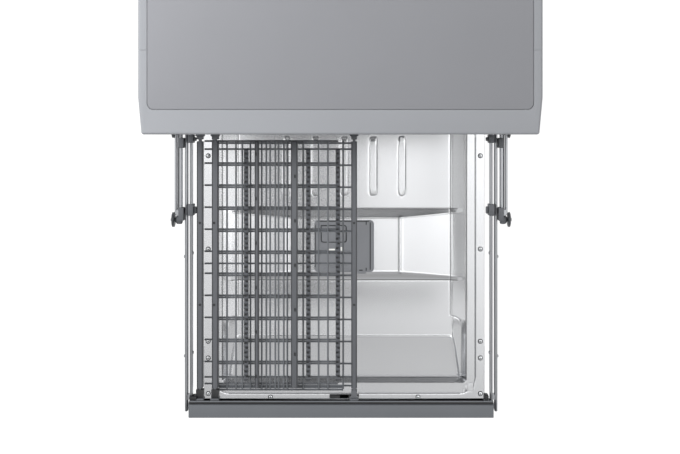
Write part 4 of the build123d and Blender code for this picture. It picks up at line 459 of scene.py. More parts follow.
def wire_tree():
    """Edges become round wire with closed ends."""
    tree = node_group("round_wire", {"Diameter": "NodeSocketFloat", "Sides": "NodeSocketInt",
                                     "Finish": "NodeSocketMaterial"})
    start = add_node(tree, "NodeGroupInput")
    curve = add_node(tree, "GeometryNodeMeshToCurve", {"Mesh": start.outputs["Geometry"]})
    half = maths(tree, "MULTIPLY", start.outputs["Diameter"], 0.5)
    ring = add_node(tree, "GeometryNodeCurvePrimitiveCircle",
                    {"Radius": half, "Resolution": start.outputs["Sides"]})
    tube = add_node(tree, "GeometryNodeCurveToMesh",
                    {"Curve": curve.outputs["Curve"], "Profile Curve": ring.outputs["Curve"],
                     "Fill Caps": True})
    return finish_tree(tree, start, tube.outputs["Mesh"])


def scatter_tree():
    """A shape is set down on each point, unturned."""
    tree = node_group("set_down", {"Shape": "NodeSocketObject", "Finish": "NodeSocketMaterial"})
    start = add_node(tree, "NodeGroupInput")
    shape = add_node(tree, "GeometryNodeObjectInfo", {"Object": start.outputs["Shape"]})
    copies = add_node(tree, "GeometryNodeInstanceOnPoints",
                      {"Points": start.outputs["Geometry"], "Instance": shape.outputs["Geometry"]})
    return finish_tree(tree, start, copies.outputs["Instances"])


def run_tree(piece, tree, values):
    """Runs a tree on a piece and keeps the result as a plain mesh."""
    modifier = piece.modifiers.new(tree.name, "NODES")
    modifier.node_group = tree
    sockets = {item.name: item.identifier for item in tree.interface.items_tree
               if item.in_out == "INPUT"}
    for label, value in values.items():
        modifier[sockets[label]] = value
    return bake(piece, 40)


def wires(name, chains, diameter, sides, body, slot="coated_wire", replaced=()):
    """Round wire of one diameter along chains of points, as one dressed piece."""
    points, edges = [], []
    for chain in chains:
        n = len(points)
        points += chain
        edges += [(n + i, n + i + 1) for i in range(len(chain) - 1)]
    piece = placed(name, raw_mesh(name, points, edges))
    run_tree(piece, TREES["wire"], {"Diameter": diameter * MM, "Sides": sides,
                                    "Finish": FINISH[slot]})
    return dress(piece, body, slot, replaced)


def set_down(name, shape, places, body, slot, replaced=()):
    """Copies of a shape, one at each place, as one dressed piece."""
    piece = placed(name, raw_mesh(name, places))
    run_tree(piece, TREES["scatter"], {"Shape": shape, "Finish": FINISH[slot]})
    bpy.data.objects.remove(shape)
    return dress(piece, body, slot, replaced)


def rounded(points, radius, steps=5):
    """A chain of points with its corners turned into arcs."""
    chain = [Vector(points[0])]
    for before, corner, after in zip(points, points[1:], points[2:]):
        corner = Vector(corner)
        to_before, to_after = (Vector(before) - corner), (Vector(after) - corner)
        reach = min(radius, to_before.length / 2, to_after.length / 2)
        a, b = corner + to_before.normalized() * reach, corner + to_after.normalized() * reach
        for s in range(steps + 1):
            t = s / steps
            chain.append(a * (1 - t) ** 2 + corner * 2 * t * (1 - t) + b * t ** 2)
    chain.append(Vector(points[-1]))
    return chain


# Door liner: one pressed sheet, its height worked out over a grid


def clamp(value):
    """A value held between 0 and 1."""
    return min(1.0, max(0.0, value))


def ease(value, start, width):
    """From 0 to 1 as a value passes from start to start + width, with soft ends."""
    t = clamp((value - start) / width)
    return t * t * (3 - 2 * t)


def inside(x, u, half, start, end, corner):
    """How far a point is inside a rectangle with round corners."""
    dx, dy = abs(x) - (half - corner), abs(u - (start + end) / 2) - ((end - start) / 2 - corner)
    outside = math.hypot(max(dx, 0), max(dy, 0))
    return corner - (outside if outside > 0 else max(dx, dy))


def crest(distance, height, width):
    """A narrow rounded ridge, or a groove where the height is negative."""
    return height * math.exp(-(distance / width) ** 2)


def band_share(ax):
    """Height of the raised band: 1 in the middle, down to 0.4 towards the walls."""
    return 1.0 if ax < BAND_EVEN else max(0.4, 1.0 - 0.6 * (ax - BAND_EVEN) / 121)


def band_height(x, u):
    """Floor of the liner with the raised band, its edges and the ribs."""
    ax = abs(x)
    share = band_share(ax)
    slope = BAND_SLOPE * share
    band = clamp((u - BAND_START) / slope) * clamp((BAND_END - u) / slope)
    lean = BAND_LEAN * clamp((u - 232) / 125)
    floor = FLOOR_UP + (BAND_UP * share - BAND_LEAN + lean) * band
    edges = crest(u - BAND_START - slope, 0.35, 1.3) + crest(u - BAND_START + 1.0, -0.2, 0.9)
    edges += crest(u - BAND_END + slope, 0.25, 1.6) + crest(u - BAND_END - 1.0, -0.25, 0.9)
    floor += edges * (1 - ease(ax, FLOOR_EDGE, 6.0))
    floor += crest(ax - 118, 1.6, 3.0) * ease(band, 0.7, 0.3)
    for rib in RIBS:
        depth = inside(x - rib, u, *RIB)
        floor += 0.8 * ease(depth, 0.0, 1.4) - crest(depth + 0.5, 0.5, 0.9)
    return floor


def far_height(ax, u):
    """The sloping field at the far end of the liner, and the pockets beside it."""
    fall = clamp((u - FIELD_START) / FIELD_LENGTH)
    field = FLOOR_UP - 10 * fall
    pocket = 4.0 - 17 * clamp((u - 459) / 119)
    edge = WALL_FOOT + 15 * fall ** 0.8
    beside = ease(ax, edge, 4.0)
    corner = math.hypot(max(0.0, ax - edge + 6.0), max(0.0, FIELD_START + 6.0 - u)) - 6.0
    rim = crest(corner, 1.1, 1.8) * ease(u, 486, 4.0) * (1 - ease(u, 572, 4.0))
    return (field if u > 484 else FLOOR_UP) * (1 - beside) + pocket * beside + rim


def liner_height(x, u):
    """Height of the liner over the pivot, at x across the door and u along it."""
    ax = abs(x)
    reach = inside(x, u, *RIM)
    top, groove = FLANGE_UP, 0.0
    if u > RIM_START:
        top += (LAND_UP - FLANGE_UP) * ease(reach, 0.0, 2.2) - 0.03 * max(0.0, ax - 276)
        groove = crest(reach + 0.6, -0.8, 0.9)
    into = ease(u, POCKET_START + 0.55 * max(0.0, ax - FLOOR_EDGE), 3.4)
    floor = band_height(x, u) * (1 - into) + into * far_height(ax, u)
    # the walls up to the rim
    foot = WALL_FOOT + 21 * into
    side = clamp((ax - foot) / (WALL_TOP - foot))
    end = clamp((u - END_WALL) / END_WALL_LENGTH)
    climb = min(1.0, (side ** 3 + end ** 3) ** (1 / 3))
    if u < RIM_START:
        climb = max(climb, ease(RIM_START - u, 0.0, 4.0))
    lip = crest(ax - foot + 3.3, -0.8, 0.9) + crest(ax - foot, 0.4, 1.6)
    lip = (lip + crest(ax - WALL_TOP - 1.0, -0.8, 0.9)) * (1 - into) * ease(u, RIM_START + 2.0, 3.0)
    return floor * (1 - climb) + top * climb + lip + groove


def painted_crease_shade(x, u):
    """How much shade is painted into the sheet along its creases, from 0 to 1."""
    ax = abs(x)
    share = band_share(ax)
    reach = inside(x, u, *RIM)
    on_wall = (1 - ease(u, POCKET_START - 2.0, 8.0)) * ease(u, RIM_START + 3.0, 3.0)
    on_floor = 1 - ease(ax, FLOOR_EDGE + 4.0, 4.0)
    dark = crest(reach - 0.4, 0.9, 0.9) if u > RIM_START else 0.0
    dark += (crest(ax - WALL_TOP - 0.6, 1.0, 1.2) * ease(u, RIM_START + 3.0, 3.0)
             * (1 - ease(u, 578, 4.0)))
    dark += crest(ax - 223, 0.7, 0.8) * on_wall
    dark += (crest(u - BAND_START + 0.5, 0.8, 1.2) + crest(u - BAND_END - 0.5, 0.9, 1.2)) * on_floor
    dark += crest(ax - 114.6, 0.5, 0.9) * ease(u, 238, 2.0) * (1 - ease(u, 352, 2.0))
    dark += crest(u - 581.5, 0.5, 3.6) * (1 - ease(ax, 248, 4.0))
    dark += crest(u - BAND_END + 10 * share, 0.2, 6.0 * share) * on_floor
    for rib in RIBS:
        dark += crest(inside(x - rib, u, *RIB) + 0.2, 0.45, 0.8)
    return min(1.0, dark)


def spaced(start, end, exact, fine):
    """Grid lines, closer within the fine spans, that also hold exact lines."""
    lines = [start]
    while lines[-1] < end:
        here = lines[-1]
        close = any(low <= here < high for low, high in fine)
        ahead = min([low - here for low, _ in fine if low > here] + [COARSE_STEP])
        lines.append(here + (FINE_STEP if close else max(ahead, FINE_STEP)))
    kept = [v for v in lines[1:-1] if all(abs(v - e) > FINE_STEP / 3 for e in exact)]
    return sorted(set(kept) | set(exact))


def in_hole(x, u):
    """Whether a point of the liner is in one of its openings."""
    cup = x < CUP_HALF and CUP_START < u < CUP_END
    latch = x < LATCH_HALF and LATCH_START < u < LATCH_END
    notch = x > NOTCH_FROM and u < NOTCH_END
    return cup or latch or notch


def pressed_liner():
    """The liner as a thin sheet with its openings cut out."""
    half_lines = (LATCH_HALF, CUP_HALF, NOTCH_FROM, LINER_HALF)
    bends = ((113, 123), (219.5, 249), (253, 259), (271, 278.5))
    fine = [tuple(sorted((s * low, s * high))) for s in (-1, 1) for low, high in bends]
    fine += [(rib + s * 7.4 - 2.4, rib + s * 7.4 + 2.4) for rib in RIBS for s in (-1, 1)]
    xs = spaced(-LINER_HALF, LINER_HALF, [s * x for s in (-1, 1) for x in half_lines], fine)
    us = spaced(-DOOR_TAIL, DOOR_END,
                (-DOOR_TAIL, NOTCH_END, CUP_START, CUP_END, LATCH_START, LATCH_END, DOOR_END),
                ((33, 42), (66.5, 72), (191, 196.5), (218, 243), (350, 375.5),
                 (445, 454), (485, 499), (572, 587), (605, 612.5)))
    points = [(x, PIVOT[0] - u, PIVOT[1] + liner_height(x, u)) for u in us for x in xs]
    wide = len(xs)
    faces = []
    for j, (near, far) in enumerate(zip(us, us[1:])):
        for i, (left, right) in enumerate(zip(xs, xs[1:])):
            if not in_hole(abs(left + right) / 2, (near + far) / 2):
                a = j * wide + i
                faces.append((a, a + 1, a + 1 + wide, a + wide))
    mesh = raw_mesh("pressed_liner", points, faces=faces)
    # painted shade along the creases, which the liner's finish uses to darken its colour
    shades = mesh.attributes.new("crease", "FLOAT", "POINT")
    shades.data.foreach_set("value", [painted_crease_shade(x, u) for u in us for x in xs])
    work = bmesh.new()
    work.from_mesh(mesh)
    loose = [v for v in work.verts if not v.link_faces]
    bmesh.ops.delete(work, geom=loose, context="VERTS")
    for face in work.faces:
        if face.normal.z < 0:
            face.normal_flip()
    work.to_mesh(mesh)
    work.free()
    piece = placed("pressed_liner", mesh)
    sheet = piece.modifiers.new("Sheet", "SOLIDIFY")
    sheet.thickness = LINER_SHEET * MM
    sheet.offset = -1
    bake(piece)
    shade(piece.data, 45)
    return piece


# Operators, one for each group of pieces


class DishwasherSizes(bpy.types.PropertyGroup):
    """Sizes and colours that a user may change."""

    wire: FloatProperty(name="Tray wire", description="Diameter of the tray's wires",
                        default=0.0030, unit="LENGTH")
    basket_wire: FloatProperty(name="Basket wire", description="Diameter of the baskets' wires",
                               default=0.0036, unit="LENGTH")
    edge: FloatProperty(name="Edge", description="Rounding of folded and moulded edges",
                        default=0.0008, unit="LENGTH")
    sides: IntProperty(name="Wire sides", description="Faces round each wire", default=8, min=3,
                       max=32)
    floor: FloatVectorProperty(name="Floor", description="Colour of the studio floor",
                               default=(0.25, 0.25, 0.25), subtype="COLOR")


def light_ramp(tree, value, stops):
    """A strength that follows one part of a direction, through (direction, strength) stops."""
    spread = add_node(tree, "ShaderNodeMapRange",
                      {"Value": value, "From Min": -1.0, "From Max": 1.0})
    ramp = add_node(tree, "ShaderNodeValToRGB", {"Fac": spread.outputs["Result"]})
    ramp.color_ramp.interpolation = "EASE"
    while len(ramp.color_ramp.elements) < len(stops):
        ramp.color_ramp.elements.new(0.5)
    for element, (turn, strength) in zip(ramp.color_ramp.elements, stops):
        element.position = (turn + 1) / 2
        element.color = (strength / RAMP_TOP,) * 3 + (1,)
    return ramp.outputs["Color"]


def area(name, place, target, size, power, mirrored=False):
    """A rectangular soft light that faces a target, and that metal reflects or not."""
    light = bpy.data.lights.new(name, "AREA")
    light.shape = "RECTANGLE"
    light.size, light.size_y = size
    light.energy = power
    lamp = placed(name, light)
    lamp.location = place
    lamp.rotation_euler = (Vector(target) - Vector(place)).to_track_quat("-Z", "Y").to_euler()
    lamp.visible_glossy = mirrored
    lamp.visible_camera = False


def white_floor(colour):
    """Matt white paper: bright to the camera, and plain white in every reflection."""
    h = FLOOR_HALF
    floor = mesh_object("floor", [(-h, -h, 0), (h, -h, 0), (h, h, 0), (-h, h, 0)], [(0, 1, 2, 3)])
    material, tree, shader = new_material("white_paper_floor")
    path = add_node(tree, "ShaderNodeLightPath")
    seen = path.outputs["Is Camera Ray"]
    for kind in ("Is Glossy Ray", "Is Transmission Ray"):
        seen = maths(tree, "MAXIMUM", seen, path.outputs[kind])
    feed(tree, shader, {"Base Color": tuple(colour) + (1.0,), "Roughness": 0.9,
                        "Emission Color": (1, 1, 1, 1),
                        "Emission Strength": maths(tree, "MULTIPLY", seen, FLOOR_GLOW)})
    floor.data.materials.append(material)


def studio_world(scene):
    """A white studio tent: brightest just behind the zenith, dim towards the room in front."""
    world = bpy.data.worlds.new("studio")
    scene.world = world
    world.use_nodes = True
    tree = world.node_tree
    place = add_node(tree, "ShaderNodeTexCoord")
    parts = add_node(tree, "ShaderNodeSeparateXYZ", {"Vector": place.outputs["Generated"]})
    back = light_ramp(tree, parts.outputs["Y"], BACK_RAMP)
    side = light_ramp(tree, parts.outputs["X"], SIDE_RAMP)
    whole = maths(tree, "MULTIPLY", maths(tree, "MULTIPLY", back, side), RAMP_TOP ** 2)
    # the camera itself sees plain white behind the floor's edge
    path = add_node(tree, "ShaderNodeLightPath")
    shown = add_node(tree, "ShaderNodeMix",
                     {"Factor": path.outputs["Is Camera Ray"], "A": whole, "B": 1.0},
                     data_type="FLOAT")
    feed(tree, tree.nodes["Background"], {"Color": (1, 1, 1, 1),
                                          "Strength": shown.outputs["Result"]})


class StageOperator(bpy.types.Operator):
    """Sets up the floor, the lights, the world and the camera"""

    bl_idname = "dishwasher.stage"
    bl_label = "Stage"

    def execute(self, context):
        scene = context.scene
        scene.view_settings.view_transform = "Standard"
        white_floor(scene.dishwasher_sizes.floor)
        studio_world(scene)
        area("softbox_left", (-0.95, 0.35, 1.5), (-0.1, 0.2, 0.85), (0.5, 0.7), 15)
        area("softbox_right", (1.1, -0.9, 1.5), (0.2, -0.45, 0.75), (0.6, 0.6), 2.5)
        area("fill_inside", (0.0, 0.32, 0.752), (0.0, 0.22, 0.2), (0.46, 0.4), 0.3, mirrored=True)
        camera = bpy.data.cameras.new("camera")
        camera.sensor_width = SENSOR
        camera.lens = FOCAL_PIXELS / PICTURE_WIDTH * SENSOR
        camera.shift_x, camera.shift_y = CAMERA_SHIFT
        camera.clip_end = 50.0
        scene.camera = placed("camera", camera)
        scene.camera.location = CAMERA_AT
        return {"FINISHED"}


class CabinetOperator(bpy.types.Operator):
    """Rounds the edges of the worktop, the cabinet's panels and the fittings inside"""

    bl_idname = "dishwasher.cabinet"
    bl_label = "Cabinet"

    def execute(self, context):
        edge = context.scene.dishwasher_sizes.edge / MM
        for node in ("worktop_front_trim", "worktop_edge_trims"):
            softened(node, "cabinet", 0.7, segments=5, outer=on_worktop_edge, outer_width=4.0)
        widths = {"worktop_board": 0.5, "side_panels": 1.2, "back_panel": 0.6, "kick_plate": edge,
                  "base_tray": 1.5, "levelling_feet": edge, "frame_rails": edge,
                  "hinge_brackets": 0.5, "circulation_pump": 2.0, "drain_pump": 1.0,
                  "counterweight": 3.0, "power_inlet": 1.0, "latch_strike": 0.4,
                  "tray_fixed_rails": 0.4, "upper_rails": 0.4, "supply_duct": 1.5}
        for node, width in widths.items():
            softened(node, "cabinet", width)
        own = {"lower_spray_arm": 1.5, "upper_spray_arm": 1.5, "ceiling_spray_head": 1.0,
               "filter_cup": 0.8, "salt_cap": 1.0}
        for node, width in own.items():
            softened(node, node, width)
        return {"FINISHED"}


def build_screws():
    """Twelve screws, each with a dark cross painted as the shade in its recess and a dark ring
    painted as the shade of the dimple round its head.
    """
    across, along = SIDE_SCREWS
    spots = [(s * across, u) for s in (-1, 1) for u in along]
    spots += [(s * END_SCREW[0], END_SCREW[1]) for s in (-1, 1)]
    places = [(x, PIVOT[0] - u, PIVOT[1] + FLANGE_UP) for x, u in spots]
    origin = (0, 0, 0)
    head = lathe("screw_head", [(0, 0), (3.6, 0), (3.7, 0.8), (3.3, 1.4), (2.6, 1.6),
                                (0, 1.6)], origin, steps=20)
    set_down("liner_screws", head, places, "door", "screw_steel", ("door_screws",))
    # a dark ring round each head: painted shade of the dimple in the sheet
    seat = lathe("seat", [(3.7, 0), (5.3, 0), (5.1, 0.5), (3.75, 0.5)], origin, steps=24)
    set_down("screw_seats", seat, places, "door", "rubber")
    # a dark cross on each head: painted shade of its cross recess
    cross = boxes_mesh("cross", [((-2.2, 2.2), (-0.5, 0.5), (0.9, 1.65)),
                                 ((-0.5, 0.5), (-2.2, 2.2), (0.9, 1.65))])
    set_down("screw_recesses", cross, places, "door", "black_plastic")


def build_dispenser():
    """The dispenser with its lid and flap, dark lines painted as the shade in its gap and grooves,
    and the marks on it.
    """
    softened("dispenser_body", "door", 0.9, "dispenser_grey")
    for node in ("detergent_lid", "rinse_aid_flap"):
        softened(node, node, 0.6, "dispenser_grey")
    corners = ((-48.5, -213.5), (-48.5, -248.5), (4.5, -248.5), (4.5, -213.5), (-48.5, -213.5))
    line = rounded([(x, y, DISPENSER_TOP + 0.5) for x, y in corners], 5)
    # a dark line round the flap: painted shade of the gap between flap and body
    wires("flap_groove", [line], 1.7, 8, "door", "black_plastic")
    # thin dark boxes on top: painted shade of the dispenser's grooves
    groove_shade_spans = ((53.5, 55.5, -306.5, -207), (45, 47, -212, -205),
               (45, 47, -308.5, -302), (31.5, 38.5, -308.4, -306),
               (-57, 52, -205.6, -203.9), (-61.6, -59.9, -301, -212))
    low = boxes_mesh("dispenser_grooves", [((x0, x1), (y0, y1), (DISPENSER_TOP, MARK_TOP))
                                           for x0, x1, y0, y1 in groove_shade_spans])
    dress(low, "door", "black_plastic")
    moulded("dispenser_marks", [((-32, -19.5), (-266.2, -262.2), (200.2, MARK_TOP)),
                                ((-7.5, -4.6), (-266.5, -258.5), (200.2, MARK_TOP))],
            0.2, "door", "white_plastic")
    moulded("dispenser_tab", [((27.3, 45.9), (-314.6, -309), (198, DISPENSER_TOP))],
            0.6, "door", "mid_grey_plastic", "dispenser_grey")


class DoorOperator(bpy.types.Operator):
    """Builds the pressed liner, its screws, the door's panel, the controls and the dispenser"""

    bl_idname = "dishwasher.door"
    bl_label = "Door"

    def execute(self, context):
        # the liner's finish darkens its colour with painted shade along the creases
        dress(pressed_liner(), "door", "stainless", ("door_liner",), "pressed_stainless")
        build_screws()
        widths = {"door_outer_panel": 1, "control_fascia": 0.8, "handle_grip": 1.5,
                  "display_window": 0.3, "door_latch": 0.6, "hinge_arms": 0.5}
        for node, width in widths.items():
            softened(node, "door", width)
        for node in ("power_button", "program_button", "start_button"):
            softened(node, node, 0.6)
        build_dispenser()
        moulded("latch_hook", [((9.6, 15), (-581, -569), (195.4, 203)),
                               ((-30, -9.6), (-577, -571.5), (195.4, 198))],
                1, "door", "black_plastic")
        return {"FINISHED"}


def build_net(thick, sides):
    """Round wires along and across the tray."""
    low, high = BAR_BOTTOM - thick, BAR_BOTTOM - 0.2 * thick
    chains = [[(x, TRAY_BACK, high), (x, TRAY_FRONT_WIRE, high)] for x in LONG_WIRES]
    across = []
    for n in range(12):
        y = -28.8 - NET_STEP * n
        across += [(NET_LEFT, -5.3, y), (-194, NET_RIGHT, y - 3.3)]
    across += [(NET_LEFT, NET_RIGHT, y) for y in (-41.6, -223.1, -403.3)]
    across += [(-194, 3.1, y) for y in (-419.8, -423.5)]
    chains += [[(left, y, low), (right, y, low)] for left, right, y in across]
    wires("tray_round_wires", chains, thick, sides, "tray", replaced=("tray_wires",))


def build_long_rails():
    """Two upright strips on each side, with spacers and riveted stops."""
    parts = []
    for side in (-1, 1):
        for low, high, start in ((234.7, 238.5, STRIP_BACK), (242, 246.2, -453.9)):
            top = [(low, 738.2), (low, 749.6), (low + 0.5, 751), ((low + high) / 2, 751.9),
                   (high - 0.5, 751), (high, 749.6), (high, 738.2)]
            parts.append(bar_along("rail", top, (start, 16.1), side))
        for y in (STRIP_BACK, 8.1):
            parts.append(boxes_mesh("spacer", [((side * 238.5, side * 242), (y, y + 8),
                                                (738.2, 749.8))]))
        for y in RAIL_STOPS:
            for x, tip, shift, way in ((246.1, 2.2, 2, side), (234.8, 2, 7.6, -side)):
                stop = [(0, 0), (2.4, 0), (2.4, 1.4), (1.6, tip), (0, tip)]
                parts.append(lathe("stop", stop, (side * x, y + shift, RAIL_Z), "X", 16, way))
    dress(join("tray_long_strips", parts), "tray", "stainless", ("tray_long_rails",),
          "rail_steel")


def build_middle_rails():
    """The strips that run between fixed and long rails, and their guide blocks."""
    inner = [(251, 737), (251, 752.4), (251.6, 753), (254.2, 753), (256.8, 750.2),
             (256.8, 737)]
    outer = [(258.8, 739), (258.8, 751.6), (259.4, 752.2), (261.2, 752.2), (261.9, 751.5),
             (261.9, 739)]
    end = [(0, 737.4), (5.4, 737.4), (5.4, 751.8), (4.8, 752.4), (0, 752.4)]
    boss = [(0, 250.6), (5.5, 250.6), (7.2, 252), (7.2, 259), (4.6, 261), (3, 262.4),
            (3, 269), (0, 269)]
    strips, guides = [], []
    for side in (-1, 1):
        strips += [bar_along("strip", outline, (-140, 280), side)
                   for outline in (inner, outer)]
        strips.append(lathe("end", end, (side * 256.4, -141, 0), "Z", 28))
        for y, long in ((-128, 18), (-18.5, 13)):
            spans = (((232.4, 241), (y - long, y), (733, 756)),
                     ((241, 253), (y - long + 2, y - 6), (734, 737)),
                     ((228.4, 232.4), (y - long + 3, y - 4), (741, 749)),
                     ((247.6, 256), (y - long - 8, y - 5), (738, 754.6)))
            guides.append(boxes_mesh("guide", [([side * x for x in across], along, up)
                                               for across, along, up in spans]))
        guides += [lathe("boss", boss, (0, y, RAIL_Z), "X", 28, side)
                   for y in TRAY_ROLLERS.values()]
    dress(join("tray_middle_strips", strips), "tray_middle", "stainless", ("tray_mid_rails",),
          "rail_steel")
    dress(bevelled(join("tray_guides", guides), 1.1), "tray_middle", "mid_grey_plastic")


def build_tray_rollers():
    """A grooved roller on each side, in front and in the middle."""
    profile = [(3.1, 0), (10.5, 0), (12, 0.8), (11.4, 2), (12, 3.2), (10.5, 4),
               (8, 4), (7.5, 3.2), (5, 3.2), (4.5, 4), (3.1, 4)]
    for node, y in TRAY_ROLLERS.items():
        wheel_pair(node, profile, (262.8, y, RAIL_Z), "black_plastic", "roller_acetal")


def build_strip_fittings():
    """Stops, clips and a thin dark strip along the back of the front strip."""
    moulded("strip_stops", [((-238.4, -226.5), (STRIP_BACK, -428.5), (742, 757)),
                            ((224.4, 231.4), (STRIP_BACK, -426.5), (742, 757))],
            2.2, "tray", "black_plastic", segments=3)
    spans = ((6, (-437.5, -419.5), (741, 752.4)),
             (3.4, (-441, STRIP_BACK), (741, 754)))
    moulded("bar_clips", [((x - half, x + half), along, up) for half, along, up in spans
                          for x, _ in BARS[:2]], 0.8, "tray", "black_plastic")
    # a thin dark strip, full width, along the back edge of the front strip
    moulded("strip_seal", [((-238.6, 238.6), (-441.6, -438), (755.6, 756.5))], 0.3, "tray",
            "black_plastic")


def build_bar_fittings():
    """Rivets and pegs of the bars, dark lines painted as the shade along the bars' rounded edges,
    and dark blocks painted as the shade in the gaps of the combs.
    """
    rivets = [(x, y, BAR_TOP) for x in (-222.5, -200, 20.4) for y in (-157.5, -286.4)]
    stud = lathe("stud", [(0, 0), (1.9, 0), (1.6, 0.7), (0, 0.9)], (0, 0, 0), steps=12)
    set_down("bar_rivets", stud, rivets, "tray", "black_plastic")
    pegs = [(x + (1.2 if n % 2 else -1.2), -49 - NET_STEP * n, BAR_TOP)
            for x, odd in ((-133, 0), (-73.8, 1)) for n in range(11) if n % 2 == odd]
    peg = boxes_mesh("peg", [((-1.3, 1.3), (-2.6, 2.6), (-0.5, 0.6))])
    set_down("bar_pegs", peg, pegs, "tray", "black_plastic")
    # dark blocks in the gaps between the combs' teeth: painted shade
    comb_gap_spots = [(x + (1.3 if n % 2 else -1.3), -408 + 7.5 * n, 743.2) for x in COMBS
             for n in range(1, 49)]
    gap = boxes_mesh("gap", [((-2.1, 2.1), (-1.3, 1.3), (-1, 1.2))])
    set_down("comb_seats", gap, comb_gap_spots, "tray", "black_plastic")
    # dark lines along the top of each bar's edges: painted shade of the rounded edges
    edges = []
    for x, width in BARS:
        for side in (-1, 1):
            at = x + side * (width / 2 - 1.2)
            edges.append([(at, y, BAR_TOP - 0.25) for y in (-30.5, -416.5)])
    wires("bar_edge_grooves", edges, 1.1, 8, "tray", "black_plastic")


class TrayOperator(bpy.types.Operator):
    """Builds the cutlery tray: rails, rollers, strip, bars, round wires and combs"""

    bl_idname = "dishwasher.tray"
    bl_label = "Cutlery tray"

    def execute(self, context):
        sizes = context.scene.dishwasher_sizes
        build_net(sizes.wire / MM, sizes.sides)
        widths = {"tray_fascia": 0.8, "tray_crossbar": 1.2, "tray_bars": 2, "tray_combs": 0.5}
        for node, width in widths.items():
            softened(node, "tray", width)
        build_long_rails()
        build_middle_rails()
        build_tray_rollers()
        build_strip_fittings()
        build_bar_fittings()
        return {"FINISHED"}


def net(corner, across, up, columns, rows):
    """Straight wires that cross on a rectangle, from a corner along two directions."""
    corner, across, up = Vector(corner), Vector(across), Vector(up)
    columns = [corner + across * (i / columns) for i in range(columns + 1)]
    rows = [corner + up * (j / rows) for j in range(rows + 1)]
    return [[start, start + up] for start in columns] + [[start, start + across] for start in rows]


def basket_chains(floor, wall, front):
    """The wires of a basket: floor, four walls and a rim that dips in front."""
    x, y0, y1 = BASKET_HALF, BASKET_FRONT, BASKET_REAR
    chains = net((-x, y0, floor), (2 * x, 0, 0), (0, y1 - y0, 0), BASKET_COLUMNS, BASKET_LANES)
    for i in range(BASKET_COLUMNS + 1):
        c = -x + 2 * x * i / BASKET_COLUMNS
        chains.append([(c, y0, floor), (c, y0 - 2, floor + front)])
        chains.append([(c, y1, floor), (c, y1 + 2, floor + wall)])
    for j in range(BASKET_LANES + 1):
        y = y0 + (y1 - y0) * j / BASKET_LANES
        for side in (-1, 1):
            chains.append([(side * x, y, floor), (side * (x + 2), y, floor + wall)])
    for share in (0.3, 0.62, 1):
        z, zf = floor + wall * share, floor + front * share
        spread = 2 * share
        left, right, dip = -x - spread, x + spread, y0 + 60
        ring = [(left, dip, z), (left, y1 + spread, z), (right, y1 + spread, z), (right, dip, z),
                (right, y0 - spread, zf), (left, y0 - spread, zf), (left, dip, z)]
        chains.append(rounded(ring, 18))
    return chains


def tines(y, floor, start, count):
    """A row of upright rods on a wire, along X."""
    xs = [start + TINE_STEP * n for n in range(count)]
    return [[(xs[0], y, floor), (xs[-1], y, floor)]] + [[(x, y, floor), (x, y, floor + TINE_HEIGHT)]
                                                        for x in xs]


def build_basket_mouldings():
    """Wheel brackets of the lower basket, feed pipe and rails of the upper one."""
    axle = [(0, 0), (3, 0), (3, 12.5), (2.4, 13), (0, 13)]
    brackets = []
    for side in (-1, 1):
        for y in LOWER_WHEELS.values():
            brackets.append(boxes_mesh("bracket", [((side * 244.5, side * 256.5),
                                                    (y - 18, y + 18), (212.6, 264))]))
            brackets.append(lathe("axle", axle, (side * 254, y, WHEEL_Z), "X", 24, side))
    dress(bevelled(join("lower_wheel_brackets", brackets), 1.2), "lower_basket", "grey_plastic")
    feed = [boxes_mesh("feed", [((-14, 14), (305, 514), (486, 499.5))]),
            lathe("drop", [(0, 482.4), (15.5, 482.4), (17, 484), (17, 500),
                           (0, 500)], (0, 305, 0), "Z", 32)]
    feed += [boxes_mesh("rail", [((side * 246.5, side * 257), (80, 514), (572, 584))])
             for side in (-1, 1)]
    dress(bevelled(join("upper_feed_and_rails", feed), 1.5), "upper_basket", "grey_plastic")


def build_wheels():
    """Dished wheels under the lower basket, plain rollers for the upper one."""
    dish = [(3.2, 0.5), (5.5, 0.5), (6, 2), (12, 2), (13, 0.2), (16, 0),
            (17, 1.2), (17, 7.8), (16, 9), (13, 8.8), (12, 6), (6, 6),
            (5.5, 8.8), (3.2, 8.8)]
    plain = [(3.1, 0), (10.8, 0), (12, 1.2), (12, 7.6), (10.8, 8.8), (3.1, 8.8)]
    for node, y in LOWER_WHEELS.items():
        wheel_pair(node, dish, (257.5, y, WHEEL_Z), "grey_plastic", steps=40)
    wheel_pair("upper_rollers", plain, (248, 106, 559.7), "black_plastic")


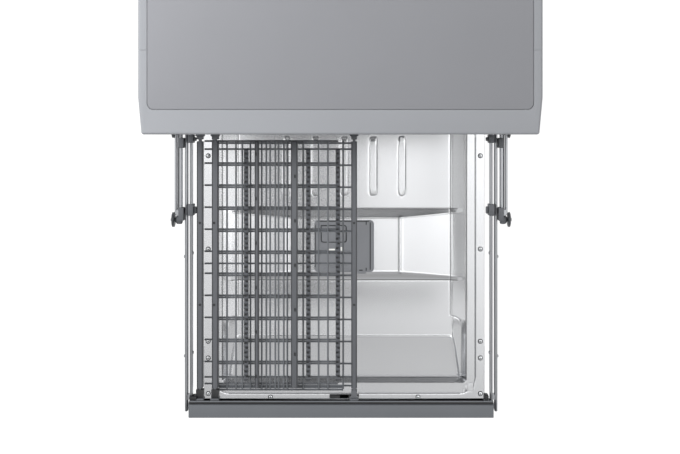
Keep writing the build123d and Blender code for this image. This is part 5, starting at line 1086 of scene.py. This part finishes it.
class BasketOperator(bpy.types.Operator):
    """Builds both baskets, the folding tines and the cup shelf of round wire, and the wheels"""

    bl_idname = "dishwasher.baskets"
    bl_label = "Baskets"

    def execute(self, context):
        sizes = context.scene.dishwasher_sizes
        thick, sides = sizes.basket_wire / MM, sizes.sides
        half = thick / 2
        lower = basket_chains(LOWER_FLOOR + half, 131, 105)
        for y in (341.7, 441.7):
            lower += tines(y, LOWER_FLOOR + 3.6 + half, -225, 18)
        wires("lower_basket_wires", lower, thick, sides, "lower_basket", replaced=("lower_basket",))
        upper = basket_chains(UPPER_FLOOR + half, 113, 113)
        for y in (201.7, 401.7):
            upper += tines(y, UPPER_FLOOR + 3.6 + half, 10, 9)
        wires("upper_basket_wires", upper, thick, sides, "upper_basket", replaced=("upper_basket",))
        fold = tines(FOLD_Y, FOLD_Z, FOLD_START, 9)
        fold.append([(-236.5, FOLD_Y, FOLD_Z), (FOLD_START, FOLD_Y, FOLD_Z)])
        wires("folding_wires", fold, FOLDING_WIRE, sides, "folding_tines",
              replaced=("folding_tines",))
        shelf = net((SHELF_X, 141.8, SHELF_Z), (80.4, 0, 0), (0, 296.4, 0), 4, 12)
        shelf.append([(SHELF_X, y, SHELF_Z) for y in (130.5, 449.5)])
        wires("cup_shelf_wires", shelf, FOLDING_WIRE, sides, "cup_shelf", replaced=("cup_shelf",))
        build_basket_mouldings()
        build_wheels()
        return {"FINISHED"}


class DishwasherPanel(bpy.types.Panel):
    """Lists the pieces in the sidebar"""

    bl_idname = "VIEW3D_PT_dishwasher"
    bl_label = "Dishwasher"
    bl_space_type = "VIEW_3D"
    bl_region_type = "UI"
    bl_category = "Dishwasher"

    def draw(self, context):
        for operator in OPERATORS:
            self.layout.operator(operator.bl_idname)


OPERATORS = (StageOperator, CabinetOperator, DoorOperator, TrayOperator, BasketOperator)
CLASSES = (DishwasherSizes,) + OPERATORS + (DishwasherPanel,)
FINISH, TREES = {}, {}
SLOTS = {part["node"]: part["material_slot"] for part in frame["record"]["subparts"]}


def register():
    for item in CLASSES:
        bpy.utils.register_class(item)
    bpy.types.Scene.dishwasher_sizes = PointerProperty(type=DishwasherSizes)


def unregister():
    del bpy.types.Scene.dishwasher_sizes
    for item in reversed(CLASSES):
        bpy.utils.unregister_class(item)


def main():
    """Builds every piece."""
    register()
    FINISH.update(make_materials())
    TREES.update({"wire": wire_tree(), "scatter": scatter_tree()})
    for node, piece in frame["nodes"].items():
        piece.data.materials.clear()
        piece.data.materials.append(FINISH[SLOTS[node]])
    for operator in OPERATORS:
        group, name = operator.bl_idname.split(".")
        getattr(getattr(bpy.ops, group), name)()


if __name__ == "__main__":
    main()
